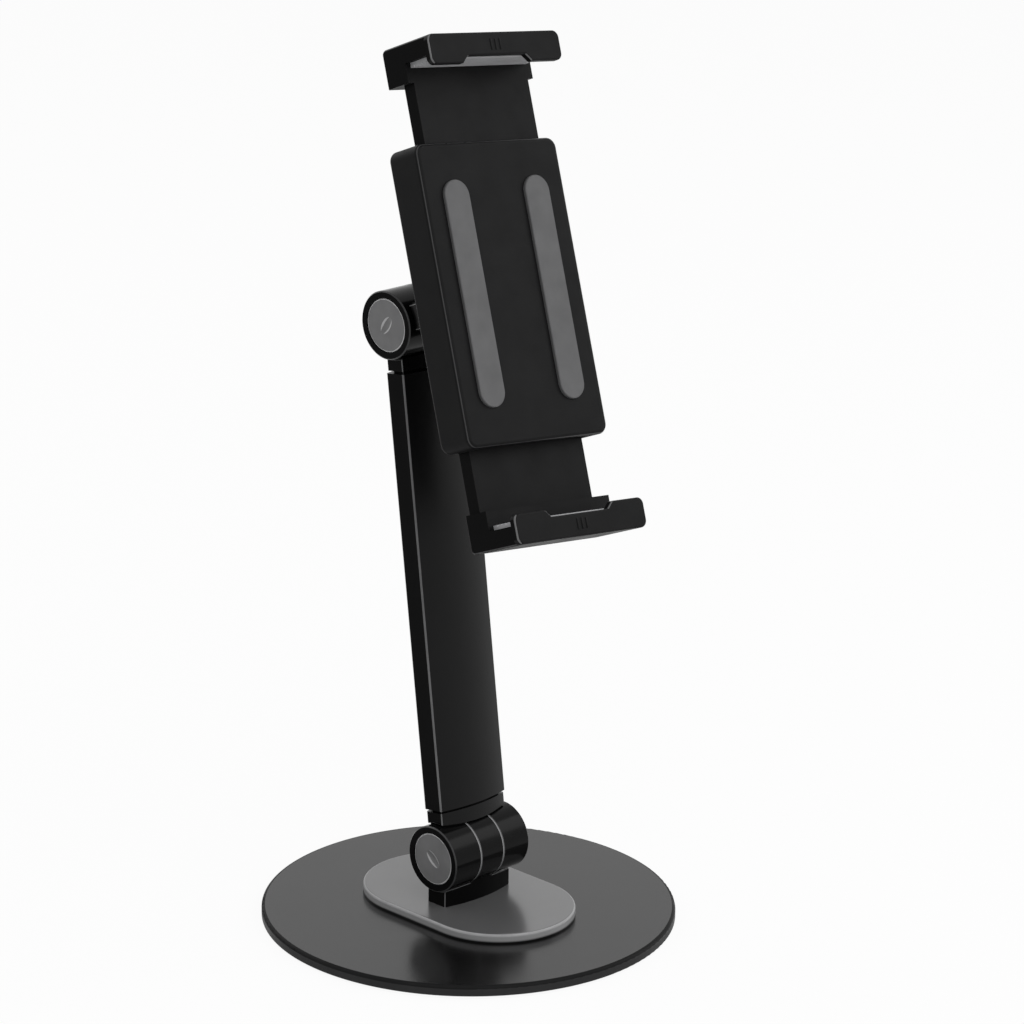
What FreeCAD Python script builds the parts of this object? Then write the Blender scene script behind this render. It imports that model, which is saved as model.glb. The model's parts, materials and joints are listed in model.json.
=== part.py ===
import FreeCAD, Part
import math
import os

# Desktop arm holder with a weighted round base, two friction hinges, a swivel and a self-centring clamp.
# Millimetres. +Z is up, -Y is the front, and the origin is on the table under the middle of the base.

Vector = FreeCAD.Vector
Rotation = FreeCAD.Rotation
Placement = FreeCAD.Placement
ORIGIN = Vector(0, 0, 0)
X_AXIS = Vector(1, 0, 0)
Y_AXIS = Vector(0, 1, 0)
Z_AXIS = Vector(0, 0, 1)

# Clearances
RUNNING_FIT = 0.05
THREAD_FIT = 0.02
SLIDING_GAP = 0.25
ASSEMBLY_GAP = 0.1
TOOL_SOCKET_DEPTH = 1.6
COUNTERSUNK_SOCKET_RATIO = 1.2

# How far a cutter runs past a face, and how far two joined forms run into each other
OVERSHOOT = 1.0
OVERLAP = 1.0

# Base
BASE_DIAMETER = 160.0
BASE_THICKNESS = 4.2
BASE_TOP_ROUND = 1.3
BASE_BOTTOM_ROUND = 0.4
MAT_DIAMETER = 150.0
MAT_THICKNESS = 1.0
COVER_WIDTH = 59.7
COVER_LENGTH = 91.7
COVER_THICKNESS = 3.8
COVER_TOP_ROUND = 1.0

# Screws that hold the base together, from below
KNUCKLE_SCREW_RADIUS = 2.0
KNUCKLE_SCREW_HEAD_RADIUS = 4.0
KNUCKLE_SCREW_SPACING = 22.0
KNUCKLE_SCREW_GRIP = 4.6
COVER_SCREW_RADIUS = 1.5
COVER_SCREW_HEAD_RADIUS = 3.0
COVER_SCREW_SPACING = 62.0
COVER_SCREW_GRIP = 2.6

# Friction hinge, used at both ends of the arm. Its axis runs along X.
BARREL_RADIUS = 13.05
BARREL_LENGTH = 39.4
BARREL_EDGE = 0.45
SEAM_EDGE = 0.2
CENTRE_KNUCKLE_WIDTH = 11.5
FRICTION_WASHER_THICKNESS = 0.5
FRICTION_WASHER_RADIUS = 12.85
FOOT_WIDTH = 34.8
FOOT_SIDE_DEPTH = 9.2
FOOT_BOW = 2.6
FOOT_WEB = 5.8
FOOT_EDGE = 0.5
CRADLE_GAP = 0.35
CRADLE_EDGE = 0.4
KNUCKLE_SLOT_GAP = 0.5
HINGE_BOLT_RADIUS = 3.0
HINGE_BOLT_HEAD_RADIUS = 5.0
HINGE_BOLT_HEAD_HEIGHT = 3.6
HINGE_BOLT_HEAD_ROUND = 0.5
HINGE_BOLT_SOCKET_FLATS = 4.8
HINGE_NUT_FLATS = 10.0
HINGE_NUT_HEIGHT = 4.0
SPRING_WASHER_RADIUS = 5.8
SPRING_WASHER_THICKNESS = 0.8
SPRING_WASHER_CONE = 0.4
BOLT_POCKET_RADIUS = 6.2
BOLT_POCKET_DEPTH = 6.5
CAP_RADIUS = 10.25
CAP_THICKNESS = 2.2
CAP_EDGE = 0.6
CAP_SUNK = 0.35
CAP_SKIRT_DEPTH = 0.9
CAP_SKIRT_WALL = 1.2
CAP_DISH_LENGTH = 8.2
CAP_DISH_WIDTH = 4.2
CAP_DISH_DEPTH = 0.5
CAP_DISH_ANGLE = 47.5

# Arm
ARM_LENGTH = 207.2
ARM_WIDTH = 34.6
ARM_SIDE_DEPTH = 8.8
ARM_BOW = 2.8
ARM_WALL = 1.8
ARM_EDGE = 1.0
COLLAR_INSET = 0.45
COLLAR_TOP = 17.8
COLLAR_GROOVE = 1.0
COLLAR_CORNER = 0.7
COLLAR_FOOT_GROOVE = 0.5
COLLAR_CORE_INSET = 0.8
COLLAR_FOOT_EDGE = 0.3
PLUG_LENGTH = 24.0
FORK_SCREW_RADIUS = 2.0
FORK_SCREW_HEAD_RADIUS = 3.8
FORK_SCREW_GRIP = 7.0

# Rest position
ARM_LEAN = 7.4
HEAD_TILT = 22.0
CLAMP_ROLL = 6.2

# Swivel between the head knuckle and the clamp
FLANGE_RADIUS = 21.0
FLANGE_THICKNESS = 6.2
FLANGE_EDGE = 0.8
FLANGE_SCREW_RADIUS = 2.0
FLANGE_SCREW_HEAD_RADIUS = 3.8
FLANGE_SCREW_SPACING = 24.0
FLANGE_SCREW_GRIP = 4.6
RING_OUTER_RADIUS = 19.4
RING_INNER_RADIUS = 8.0
RING_THICKNESS = 0.8
BOSS_HEIGHT = 8.6
BOSS_RADIUS = 20.0
BOSS_FOOT_RADIUS = 24.0
SWIVEL_BOLT_RADIUS = 2.5
SWIVEL_BOLT_HEAD_RADIUS = 4.6
SWIVEL_BOLT_HEAD_HEIGHT = 2.7
SWIVEL_BOLT_SOCKET_FLATS = 3.0
SWIVEL_WEB = 5.3
SWIVEL_POCKET_RADIUS = 5.4
SWIVEL_WASHER_THICKNESS = 0.8
SWIVEL_NUT_FLATS = 8.0
SWIVEL_NUT_HEIGHT = 3.0

# Clamp housing
HOUSING_WIDTH = 70.0
HOUSING_LENGTH = 112.0
HOUSING_DEPTH = 16.0
HOUSING_EDGE = 1.6
HOUSING_CORNER = 4.0
HOUSING_FLOOR = 2.1
HOUSING_SKIN = 1.9
FRONT_COVER_DEPTH = 3.2
RACK_PLATE_WIDTH = 56.7
LAYER_GAP = 0.5
DEVICE_PAD_WIDTH = 12.0
DEVICE_PAD_LENGTH = 84.0
DEVICE_PAD_SPACING = 40.0
DEVICE_PAD_THICKNESS = 2.0
DEVICE_PAD_SUNK = 0.8
DEVICE_PAD_ROUND = 0.5
HOUSING_SCREW_RADIUS = 1.25
HOUSING_SCREW_HEAD_RADIUS = 2.2
HOUSING_SCREW_HEAD_HEIGHT = 1.6
HOUSING_SCREW_SOCKET_FLATS = 1.75
HOUSING_SCREW_SOCKET_DEPTH = 1.0
HOUSING_SCREW_SUNK = 2.4
HOUSING_SCREW_SPACING_U = 63.2
HOUSING_SCREW_SPACING_V = 92.0
HOUSING_SCREW_GRIP = 2.0

# Jaws, at the opening that the photograph shows
REST_OPENING = 168.4
LEAST_OPENING = 124.0
MOST_OPENING = 218.0
JAW_WIDTH = 62.0
JAW_BLOCK_LENGTH = 14.5
SHELF_THICKNESS = 7.2
JAW_GAP_DEPTH = 10.1
JAW_BACK_EDGE = 2.0
JAW_SIDE_EDGE = 0.8
LIP_WIDTH = 65.0
LIP_HEIGHT = 11.2
LIP_THICKNESS = 2.6
LIP_EDGE = 0.7
LIP_OUTER_CORNER = 2.8
LIP_TIP_CORNER = 2.6
LIP_NOTCH_WIDTH = 28.2
LIP_NOTCH_MOUTH = 33.8
LIP_NOTCH_DEPTH = 2.7
LIP_NOTCH_ROUND = 1.2
LINING_THICKNESS = 1.8
LINING_WIDTH = 57.0
LINING_GROOVES = 5
LINING_GROOVE_WIDTH = 1.0
LINING_GROOVE_DEPTH = 0.5

# Rack and pinion that couples the jaws
MODULE = 1.0
PINION_TEETH = 12
PINION_WIDTH = 8.8
PRESSURE_ANGLE = 20.0
TOOTH_BACKLASH = 0.1
PINION_ADDENDUM = 1.0
PINION_DEDENDUM = 1.0
RACK_ADDENDUM = 0.7
RACK_DEDENDUM = 1.25
PINION_PIN_RADIUS = 2.0
PIN_PLATE_RADIUS = 10.0
PIN_PLATE_THICKNESS = 1.2
PIN_BOSS_RADIUS = 4.0
RACK_RUN_OUT = 6.7
RACK_SLOT_FREE_SIDE = 8.0
RACK_SLOT_SPARE = 1.0
RACK_TIP_ROUND = 2.0

# Springs that pull the jaws together
SPRING_OFFSET = 18.0
SPRING_RADIUS = 2.3
SPRING_WIRE_RADIUS = 0.4
SPRING_SLOT_WIDTH = 6.4
SPRING_ANCHOR_V = 50.0
SPRING_ANCHOR_RADIUS = 1.4
ANCHOR_GAP = 0.2
SPRING_PIN_V = 20.0
SPRING_PIN_RADIUS = 1.0
SPRING_PIN_GRIP = 3.0

# Heights and places worked out from the sizes above
BASE_TOP = MAT_THICKNESS + BASE_THICKNESS
COVER_TOP = BASE_TOP + COVER_THICKNESS
CRADLE_RADIUS = BARREL_RADIUS + CRADLE_GAP
AXIS_ABOVE_FOOT = FOOT_WEB + CRADLE_RADIUS
LOWER_AXIS_Z = COVER_TOP + AXIS_ABOVE_FOOT
CENTRE_HALF = CENTRE_KNUCKLE_WIDTH / 2
FORK_INNER = CENTRE_HALF + FRICTION_WASHER_THICKNESS
BARREL_HALF = BARREL_LENGTH / 2
CAP_FLOOR = BARREL_HALF - CAP_SUNK - CAP_THICKNESS
POCKET_FLOOR = CAP_FLOOR - BOLT_POCKET_DEPTH

# Distances from the upper hinge axis along the clamp's normal
FLANGE_BACK = AXIS_ABOVE_FOOT
FLANGE_FRONT = FLANGE_BACK + FLANGE_THICKNESS
BOSS_BACK = FLANGE_FRONT + RING_THICKNESS
HOUSING_BACK = BOSS_BACK + BOSS_HEIGHT
HOUSING_FRONT = HOUSING_BACK + HOUSING_DEPTH
PARTING = HOUSING_FRONT - FRONT_COVER_DEPTH
CAVITY_BACK = HOUSING_BACK + HOUSING_FLOOR
CAVITY_FRONT = HOUSING_FRONT - HOUSING_SKIN
CAVITY_WIDTH = RACK_PLATE_WIDTH + 2 * SLIDING_GAP
LEG_BACK = CAVITY_BACK + SLIDING_GAP
LEG_FRONT = CAVITY_FRONT - SLIDING_GAP
LAYER_THICKNESS = (LEG_FRONT - LEG_BACK - LAYER_GAP) / 2
PAD_FACE = HOUSING_FRONT - DEVICE_PAD_SUNK + DEVICE_PAD_THICKNESS
LIP_BACK = PAD_FACE + JAW_GAP_DEPTH
LIP_FRONT = LIP_BACK + LIP_THICKNESS

# Places along the clamp, from its middle
SHELF_INNER = REST_OPENING / 2 + LINING_THICKNESS
JAW_OUTER = SHELF_INNER + SHELF_THICKNESS
BLOCK_INNER = JAW_OUTER - JAW_BLOCK_LENGTH
CLOSING_TRAVEL = (REST_OPENING - LEAST_OPENING) / 2
OPENING_TRAVEL = (MOST_OPENING - REST_OPENING) / 2
PITCH_RADIUS = MODULE * PINION_TEETH / 2
PITCH = math.pi * MODULE
PINION_TIP_RADIUS = PITCH_RADIUS + PINION_ADDENDUM
PINION_ROOT_RADIUS = PITCH_RADIUS - PINION_DEDENDUM
RACK_END = -(OPENING_TRAVEL + RACK_RUN_OUT)
RACK_SLOT_END = CLOSING_TRAVEL + PINION_TIP_RADIUS + RACK_SLOT_SPARE


def box(low, high):
    """A block between two corners."""
    size = high - low
    return Part.makeBox(size.x, size.y, size.z, low)


def rod(radius, start, end):
    """A round bar between two points."""
    along = end - start
    return Part.makeCylinder(radius, along.Length, start, along)


def tube(outer_radius, inner_radius, start, end):
    """A round bar with a bore."""
    return rod(outer_radius, start, end).cut(rod(inner_radius, start, end))


def cone(start_radius, end_radius, start, end):
    """A tapered round bar between two points."""
    along = end - start
    return Part.makeCone(start_radius, end_radius, along.Length, start, along)


def along_x(x):
    return Vector(x, 0, 0)


def at_z(x, y, z):
    return Vector(x, y, z)


def joined(shapes):
    """All the shapes fused into one, with leftover seams removed."""
    first = shapes[0]
    if len(shapes) == 1:
        return first
    return first.multiFuse(shapes[1:]).removeSplitter()


def edges_where(shape, test):
    """The edges whose two ends and middle all pass a test on their place."""
    found = []
    for edge in shape.Edges:
        places = [edge.valueAt(edge.FirstParameter), edge.valueAt(edge.LastParameter)]
        places.append(edge.valueAt((edge.FirstParameter + edge.LastParameter) / 2))
        if all(test(place) for place in places):
            found.append(edge)
    return found


def near(value, target):
    return abs(value - target) < 1e-4


def hexagon_bar(flats, start, end):
    """A six-sided bar whose flats are that far apart."""
    along = end - start
    radius = flats / math.sqrt(3)
    corners = []
    for side in range(7):
        angle = math.radians(60 * side)
        corners.append(Vector(radius * math.cos(angle), radius * math.sin(angle), 0))
    bar = Part.Face(Part.makePolygon(corners)).extrude(Vector(0, 0, along.Length))
    bar.Placement = Placement(start, Rotation(Z_AXIS, along))
    return bar


def bowed_bar(width, side_depth, bow, low, high, edge_round=0.0):
    """An upright bar with straight sides, and a front and back that bow outwards."""
    half_width = width / 2
    half_side = side_depth / 2
    crown = half_side + bow
    front_left = Vector(-half_width, -half_side, low)
    front_right = Vector(half_width, -half_side, low)
    back_right = Vector(half_width, half_side, low)
    back_left = Vector(-half_width, half_side, low)
    outline = [
        Part.Arc(front_left, Vector(0, -crown, low), front_right),
        Part.LineSegment(front_right, back_right),
        Part.Arc(back_right, Vector(0, crown, low), back_left),
        Part.LineSegment(back_left, front_left),
    ]
    face = Part.Face(Part.Wire([piece.toShape() for piece in outline]))
    bar = face.extrude(Vector(0, 0, high - low))
    if edge_round > 0:
        corners = edges_where(bar, lambda p: near(abs(p.x), half_width) and near(abs(p.y), half_side))
        bar = bar.makeFillet(edge_round, corners)
    return bar


def stadium_bar(width, length, low, high):
    """An upright bar with straight sides and half-round ends. Its length runs along Y."""
    radius = width / 2
    straight = (length - width) / 2
    right_front, right_back = Vector(radius, -straight, low), Vector(radius, straight, low)
    left_front, left_back = Vector(-radius, -straight, low), Vector(-radius, straight, low)
    outline = [
        Part.LineSegment(right_front, right_back),
        Part.Arc(right_back, Vector(0, length / 2, low), left_back),
        Part.LineSegment(left_back, left_front),
        Part.Arc(left_front, Vector(0, -length / 2, low), right_front),
    ]
    face = Part.Face(Part.Wire([piece.toShape() for piece in outline]))
    return face.extrude(Vector(0, 0, high - low))


def rounded_bar(width, length, corner, low, high):
    """An upright bar with four rounded corners. Its width is along X and its length along Y."""
    bar = box(Vector(-width / 2, -length / 2, low), Vector(width / 2, length / 2, high))
    corners = edges_where(bar, lambda p: near(abs(p.x), width / 2) and near(abs(p.y), length / 2))
    return bar.makeFillet(corner, corners)


def countersunk_screw(radius, head_radius, head_face, tip):
    """A flat-headed screw with a hexagon socket. head_face is the middle of its flat face."""
    direction = (tip - head_face).normalize()
    head_height = head_radius - radius
    head_end = head_face + direction * head_height
    socket_end = head_face + direction * TOOL_SOCKET_DEPTH
    screw = joined([cone(head_radius, radius, head_face, head_end), rod(radius, head_end, tip)])
    return screw.cut(hexagon_bar(radius * COUNTERSUNK_SOCKET_RATIO, head_face, socket_end))


def countersunk_hole(radius, head_radius, head_face, tip):
    """The room for a flat-headed screw, with a little clearance round its head."""
    direction = (tip - head_face).normalize()
    head_height = head_radius - radius
    lead = head_face - direction * ASSEMBLY_GAP
    head_end = head_face + direction * head_height
    mouth = cone(head_radius + ASSEMBLY_GAP, radius + THREAD_FIT, head_face, head_end)
    entry = rod(head_radius + ASSEMBLY_GAP, lead, head_face)
    return joined([entry, mouth, rod(radius + THREAD_FIT, head_face, tip)])


# Base

def knuckle_screw_places():
    return [-KNUCKLE_SCREW_SPACING / 2, KNUCKLE_SCREW_SPACING / 2]


def cover_screw_places():
    return [-COVER_SCREW_SPACING / 2, COVER_SCREW_SPACING / 2]


def knuckle_screw_ends(x):
    return at_z(x, 0, MAT_THICKNESS), at_z(x, 0, COVER_TOP + KNUCKLE_SCREW_GRIP)


def cover_screw_ends(y):
    return at_z(0, y, MAT_THICKNESS), at_z(0, y, BASE_TOP + COVER_SCREW_GRIP)


def base_screw_holes():
    """The room for all the screws of the base, from the mat up."""
    holes = []
    for x in knuckle_screw_places():
        face, tip = knuckle_screw_ends(x)
        holes.append(countersunk_hole(KNUCKLE_SCREW_RADIUS, KNUCKLE_SCREW_HEAD_RADIUS, face, tip))
    for y in cover_screw_places():
        face, tip = cover_screw_ends(y)
        holes.append(countersunk_hole(COVER_SCREW_RADIUS, COVER_SCREW_HEAD_RADIUS, face, tip))
    return Part.makeCompound(holes)


def make_base_plate():
    """The weighted steel disc, with a rounded top edge."""
    radius = BASE_DIAMETER / 2
    plate = rod(radius, at_z(0, 0, MAT_THICKNESS), at_z(0, 0, BASE_TOP))
    plate = plate.makeFillet(BASE_TOP_ROUND, edges_where(plate, lambda p: near(p.z, BASE_TOP)))
    bottom = edges_where(plate, lambda p: near(p.z, MAT_THICKNESS))
    plate = plate.makeFillet(BASE_BOTTOM_ROUND, bottom)
    return plate.cut(base_screw_holes())


def make_anti_slip_mat():
    return rod(MAT_DIAMETER / 2, ORIGIN, at_z(0, 0, MAT_THICKNESS))


def make_base_cover():
    """The grey plate with round ends that covers the joint between the base and the foot."""
    cover = stadium_bar(COVER_WIDTH, COVER_LENGTH, BASE_TOP, COVER_TOP)
    cover = cover.makeFillet(COVER_TOP_ROUND, edges_where(cover, lambda p: near(p.z, COVER_TOP)))
    return cover.cut(base_screw_holes())


def make_knuckle_screws():
    screws = []
    for x in knuckle_screw_places():
        face, tip = knuckle_screw_ends(x)
        screws.append(countersunk_screw(KNUCKLE_SCREW_RADIUS, KNUCKLE_SCREW_HEAD_RADIUS, face, tip))
    return Part.makeCompound(screws)


def make_cover_screws():
    screws = []
    for y in cover_screw_places():
        face, tip = cover_screw_ends(y)
        screws.append(countersunk_screw(COVER_SCREW_RADIUS, COVER_SCREW_HEAD_RADIUS, face, tip))
    return Part.makeCompound(screws)


# Hinge, in its own frame: the axis is X, the foot is below and the arm above

def barrel_piece(start, start_edge, end, end_edge):
    """A length of the hinge's barrel with a small chamfer at each end."""
    piece = rod(BARREL_RADIUS, along_x(start), along_x(end))
    piece = piece.makeChamfer(start_edge, edges_where(piece, lambda p: near(p.x, start)))
    return piece.makeChamfer(end_edge, edges_where(piece, lambda p: near(p.x, end)))


def on_cylinder(point, radius):
    """Whether a point lies on the cylinder of that radius round the hinge's axis."""
    return near(math.hypot(point.y, point.z), radius)


def make_centre_knuckle():
    """The knuckle between the fork's two, on a bowed block whose top is a cradle for the fork's two."""
    foot = bowed_bar(FOOT_WIDTH, FOOT_SIDE_DEPTH, FOOT_BOW, -AXIS_ABOVE_FOOT, 0, FOOT_EDGE)
    for side in (-1, 1):
        foot = foot.cut(rod(CRADLE_RADIUS, along_x(side * CENTRE_HALF), along_x(side * FOOT_WIDTH)))
    rims = edges_where(foot, lambda p: on_cylinder(p, CRADLE_RADIUS))
    clear_of_neck = [rim for rim in rims if not near(abs(rim.CenterOfMass.x), CENTRE_HALF)]
    foot = foot.makeChamfer(CRADLE_EDGE, clear_of_neck)
    knuckle = joined([foot, barrel_piece(-CENTRE_HALF, SEAM_EDGE, CENTRE_HALF, SEAM_EDGE)])
    bore = rod(HINGE_BOLT_RADIUS + RUNNING_FIT, along_x(-BARREL_HALF), along_x(BARREL_HALF))
    return knuckle.cut(bore)


def fork_screw_ends():
    back = ARM_SIDE_DEPTH / 2 + ARM_BOW
    height = COLLAR_TOP + COLLAR_GROOVE + PLUG_LENGTH / 2
    return Vector(0, back, height), Vector(0, back - FORK_SCREW_GRIP, height)


def fork_screw_hole():
    face, tip = fork_screw_ends()
    return countersunk_hole(FORK_SCREW_RADIUS, FORK_SCREW_HEAD_RADIUS, face, tip)


def make_collar():
    """The collar above the barrel, with a fine shadow groove where it meets the barrel."""
    width = ARM_WIDTH - 2 * COLLAR_INSET
    side = ARM_SIDE_DEPTH - 2 * COLLAR_INSET
    groove_radius = BARREL_RADIUS + COLLAR_FOOT_GROOVE
    collar = bowed_bar(width, side, ARM_BOW, 0, COLLAR_TOP, COLLAR_CORNER)
    collar = collar.cut(rod(groove_radius, along_x(-ARM_WIDTH), along_x(ARM_WIDTH)))
    rims = edges_where(collar, lambda p: on_cylinder(p, groove_radius))
    collar = collar.makeChamfer(COLLAR_FOOT_EDGE, rims)
    inset = 2 * COLLAR_CORE_INSET
    core = bowed_bar(width - inset, side - inset, ARM_BOW, 0, COLLAR_TOP)
    return joined([collar, core])


def make_fork():
    """The two outer knuckles, the collar that joins them and the plug that fills the arm's end."""
    inset = 2 * (ARM_WALL + ASSEMBLY_GAP)
    plug_end = COLLAR_TOP + COLLAR_GROOVE + PLUG_LENGTH
    plug_start = COLLAR_TOP - OVERLAP
    plug_width = ARM_WIDTH - inset
    plug = bowed_bar(plug_width, ARM_SIDE_DEPTH - inset, ARM_BOW, plug_start, plug_end, COLLAR_CORNER)
    left = barrel_piece(-BARREL_HALF, BARREL_EDGE, -FORK_INNER, SEAM_EDGE)
    right = barrel_piece(FORK_INNER, SEAM_EDGE, BARREL_HALF, BARREL_EDGE)
    slot = rod(BARREL_RADIUS + KNUCKLE_SLOT_GAP, along_x(-FORK_INNER), along_x(FORK_INNER))
    fork = joined([make_collar().cut(slot), plug.cut(slot), left, right])
    fork = fork.cut(rod(HINGE_BOLT_RADIUS + THREAD_FIT, along_x(-BARREL_HALF), along_x(BARREL_HALF)))
    for side in (-1, 1):
        end = along_x(side * (BARREL_HALF + OVERSHOOT))
        cap_room = rod(CAP_RADIUS + ASSEMBLY_GAP, along_x(side * CAP_FLOOR), end)
        bolt_room = rod(BOLT_POCKET_RADIUS, along_x(side * POCKET_FLOOR), end)
        fork = fork.cut(cap_room).cut(bolt_room)
    return fork.cut(fork_screw_hole())


def make_friction_washers():
    washers = []
    for side in (-1, 1):
        inner = along_x(side * CENTRE_HALF)
        outer = along_x(side * FORK_INNER)
        washers.append(tube(FRICTION_WASHER_RADIUS, HINGE_BOLT_RADIUS + THREAD_FIT, inner, outer))
    return Part.makeCompound(washers)


def make_spring_washers():
    """One dished washer under the bolt's head and one under its nut."""
    washers = []
    for side in (-1, 1):
        inner = HINGE_BOLT_RADIUS + THREAD_FIT
        seat = POCKET_FLOOR
        crown = seat + SPRING_WASHER_CONE
        section = Part.makePolygon([
            Vector(crown, inner, 0),
            Vector(seat, SPRING_WASHER_RADIUS, 0),
            Vector(seat + SPRING_WASHER_THICKNESS, SPRING_WASHER_RADIUS, 0),
            Vector(crown + SPRING_WASHER_THICKNESS, inner, 0),
            Vector(crown, inner, 0),
        ])
        washer = Part.Face(section).revolve(ORIGIN, X_AXIS, 360)
        if side < 0:
            washer = washer.mirror(ORIGIN, X_AXIS)
        washers.append(washer)
    return Part.makeCompound(washers)


def hinge_bolt_seat():
    return POCKET_FLOOR + SPRING_WASHER_CONE + SPRING_WASHER_THICKNESS


def make_hinge_bolt():
    """The socket-head bolt that the hinge turns on. Its head is on the left."""
    seat = -hinge_bolt_seat()
    head_end = seat - HINGE_BOLT_HEAD_HEIGHT
    head = rod(HINGE_BOLT_HEAD_RADIUS, along_x(head_end), along_x(seat))
    head = head.makeFillet(HINGE_BOLT_HEAD_ROUND, edges_where(head, lambda p: near(p.x, head_end)))
    shank = rod(HINGE_BOLT_RADIUS, along_x(seat - OVERLAP), along_x(hinge_bolt_seat() + HINGE_NUT_HEIGHT))
    socket = hexagon_bar(HINGE_BOLT_SOCKET_FLATS, along_x(head_end), along_x(head_end + TOOL_SOCKET_DEPTH))
    return joined([head, shank]).cut(socket)


def make_hinge_nut():
    seat = hinge_bolt_seat()
    nut = hexagon_bar(HINGE_NUT_FLATS, along_x(seat), along_x(seat + HINGE_NUT_HEIGHT))
    bore = rod(HINGE_BOLT_RADIUS + THREAD_FIT, along_x(seat), along_x(seat + HINGE_NUT_HEIGHT))
    return nut.cut(bore)


def make_cap(side):
    """The round cap at one end of the barrel, with a shallow oval dish in its face."""
    inner = side * CAP_FLOOR
    outer = side * (CAP_FLOOR + CAP_THICKNESS)
    disc = rod(CAP_RADIUS, along_x(inner), along_x(outer))
    disc = disc.makeFillet(CAP_EDGE, edges_where(disc, lambda p: near(p.x, outer)))
    skirt_radius = BOLT_POCKET_RADIUS - ASSEMBLY_GAP
    skirt_end = side * (CAP_FLOOR - CAP_SKIRT_DEPTH)
    skirt = tube(skirt_radius, skirt_radius - CAP_SKIRT_WALL, along_x(inner), along_x(skirt_end))
    dish, rise = cap_dish()
    dish.Placement = Placement(along_x(outer + side * rise), Rotation(X_AXIS, CAP_DISH_ANGLE))
    return joined([disc, skirt]).cut(dish)


def cap_dish():
    """A barrel-shaped cutter along Y, and how far its axis stands off the face that it dishes."""
    half_width = CAP_DISH_WIDTH / 2
    waist = (half_width ** 2 + CAP_DISH_DEPTH ** 2) / (2 * CAP_DISH_DEPTH)
    half_length = CAP_DISH_LENGTH / 2
    bend = (half_length ** 2 + CAP_DISH_DEPTH ** 2) / (2 * CAP_DISH_DEPTH)
    reach = half_length + OVERSHOOT
    end_radius = waist - (bend - math.sqrt(bend ** 2 - reach ** 2))
    arc = Part.Arc(Vector(0, -reach, end_radius), Vector(0, 0, waist), Vector(0, reach, end_radius))
    sides = Part.makePolygon([
        Vector(0, reach, end_radius),
        Vector(0, reach, 0),
        Vector(0, -reach, 0),
        Vector(0, -reach, end_radius),
    ])
    section = Part.Face(Part.Wire([arc.toShape()] + sides.Edges))
    return section.revolve(ORIGIN, Y_AXIS, 360), waist - CAP_DISH_DEPTH


# Arm, in its own frame: the lower hinge axis is at the origin and the arm runs up along Z

def make_arm_tube():
    """The extruded tube, open at both ends until the forks' plugs fill it."""
    low = COLLAR_TOP + COLLAR_GROOVE
    high = ARM_LENGTH - low
    outer = bowed_bar(ARM_WIDTH, ARM_SIDE_DEPTH, ARM_BOW, low, high, ARM_EDGE)
    inset = 2 * ARM_WALL
    hollow_low = low - OVERSHOOT
    hollow_high = high + OVERSHOOT
    hollow = bowed_bar(ARM_WIDTH - inset, ARM_SIDE_DEPTH - inset, ARM_BOW, hollow_low, hollow_high)
    walls = outer.cut(hollow)
    for placement in (Placement(), upper_fork_placement()):
        hole = fork_screw_hole()
        hole.Placement = placement.multiply(hole.Placement)
        walls = walls.cut(hole)
    return walls


def make_fork_screws():
    screws = []
    for placement in (Placement(), upper_fork_placement()):
        face, tip = fork_screw_ends()
        screw = countersunk_screw(FORK_SCREW_RADIUS, FORK_SCREW_HEAD_RADIUS, face, tip)
        screw.Placement = placement.multiply(screw.Placement)
        screws.append(screw)
    return Part.makeCompound(screws)


def upper_fork_placement():
    """The lower fork turned over about the arm's front-to-back axis and put at the arm's top."""
    return Placement(Vector(0, 0, ARM_LENGTH), Rotation(Y_AXIS, 180))


# Swivel and clamp, in the clamp's frame: the upper hinge axis is X, Y runs up the clamp, Z out of its front

def out(distance, u=0.0, v=0.0):
    return Vector(u, v, distance)


def flange_screw_places():
    return [-FLANGE_SCREW_SPACING / 2, FLANGE_SCREW_SPACING / 2]


def flange_screw_ends(u):
    return out(FLANGE_FRONT, u), out(FLANGE_BACK - FLANGE_SCREW_GRIP, u)


def flange_screw_holes():
    holes = []
    for u in flange_screw_places():
        face, tip = flange_screw_ends(u)
        holes.append(countersunk_hole(FLANGE_SCREW_RADIUS, FLANGE_SCREW_HEAD_RADIUS, face, tip))
    return Part.makeCompound(holes)


def make_head_knuckle():
    """The same knuckle as on the base, turned over so that its foot faces the clamp."""
    knuckle = make_centre_knuckle()
    knuckle.rotate(ORIGIN, X_AXIS, 180)
    return knuckle.cut(flange_screw_holes())


def make_swivel_flange():
    """The round plate that the clamp turns on, with a pocket for the swivel's nut at its back."""
    flange = rod(FLANGE_RADIUS, out(FLANGE_BACK), out(FLANGE_FRONT))
    rims = edges_where(flange, lambda p: near(p.z, FLANGE_BACK) or near(p.z, FLANGE_FRONT))
    flange = flange.makeChamfer(FLANGE_EDGE, rims)
    nut_room = hexagon_bar(SWIVEL_NUT_FLATS + 2 * ASSEMBLY_GAP, out(FLANGE_BACK), out(nut_seat()))
    bore = rod(SWIVEL_BOLT_RADIUS + THREAD_FIT, out(FLANGE_BACK), out(FLANGE_FRONT))
    return flange.cut(nut_room).cut(bore).cut(flange_screw_holes())


def nut_seat():
    return FLANGE_BACK + SWIVEL_NUT_HEIGHT + ASSEMBLY_GAP


def make_flange_screws():
    screws = []
    for u in flange_screw_places():
        face, tip = flange_screw_ends(u)
        screws.append(countersunk_screw(FLANGE_SCREW_RADIUS, FLANGE_SCREW_HEAD_RADIUS, face, tip))
    return Part.makeCompound(screws)


def make_swivel_ring():
    return tube(RING_OUTER_RADIUS, RING_INNER_RADIUS, out(FLANGE_FRONT), out(BOSS_BACK))


def swivel_bolt_seat():
    return BOSS_BACK + SWIVEL_WEB


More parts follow.
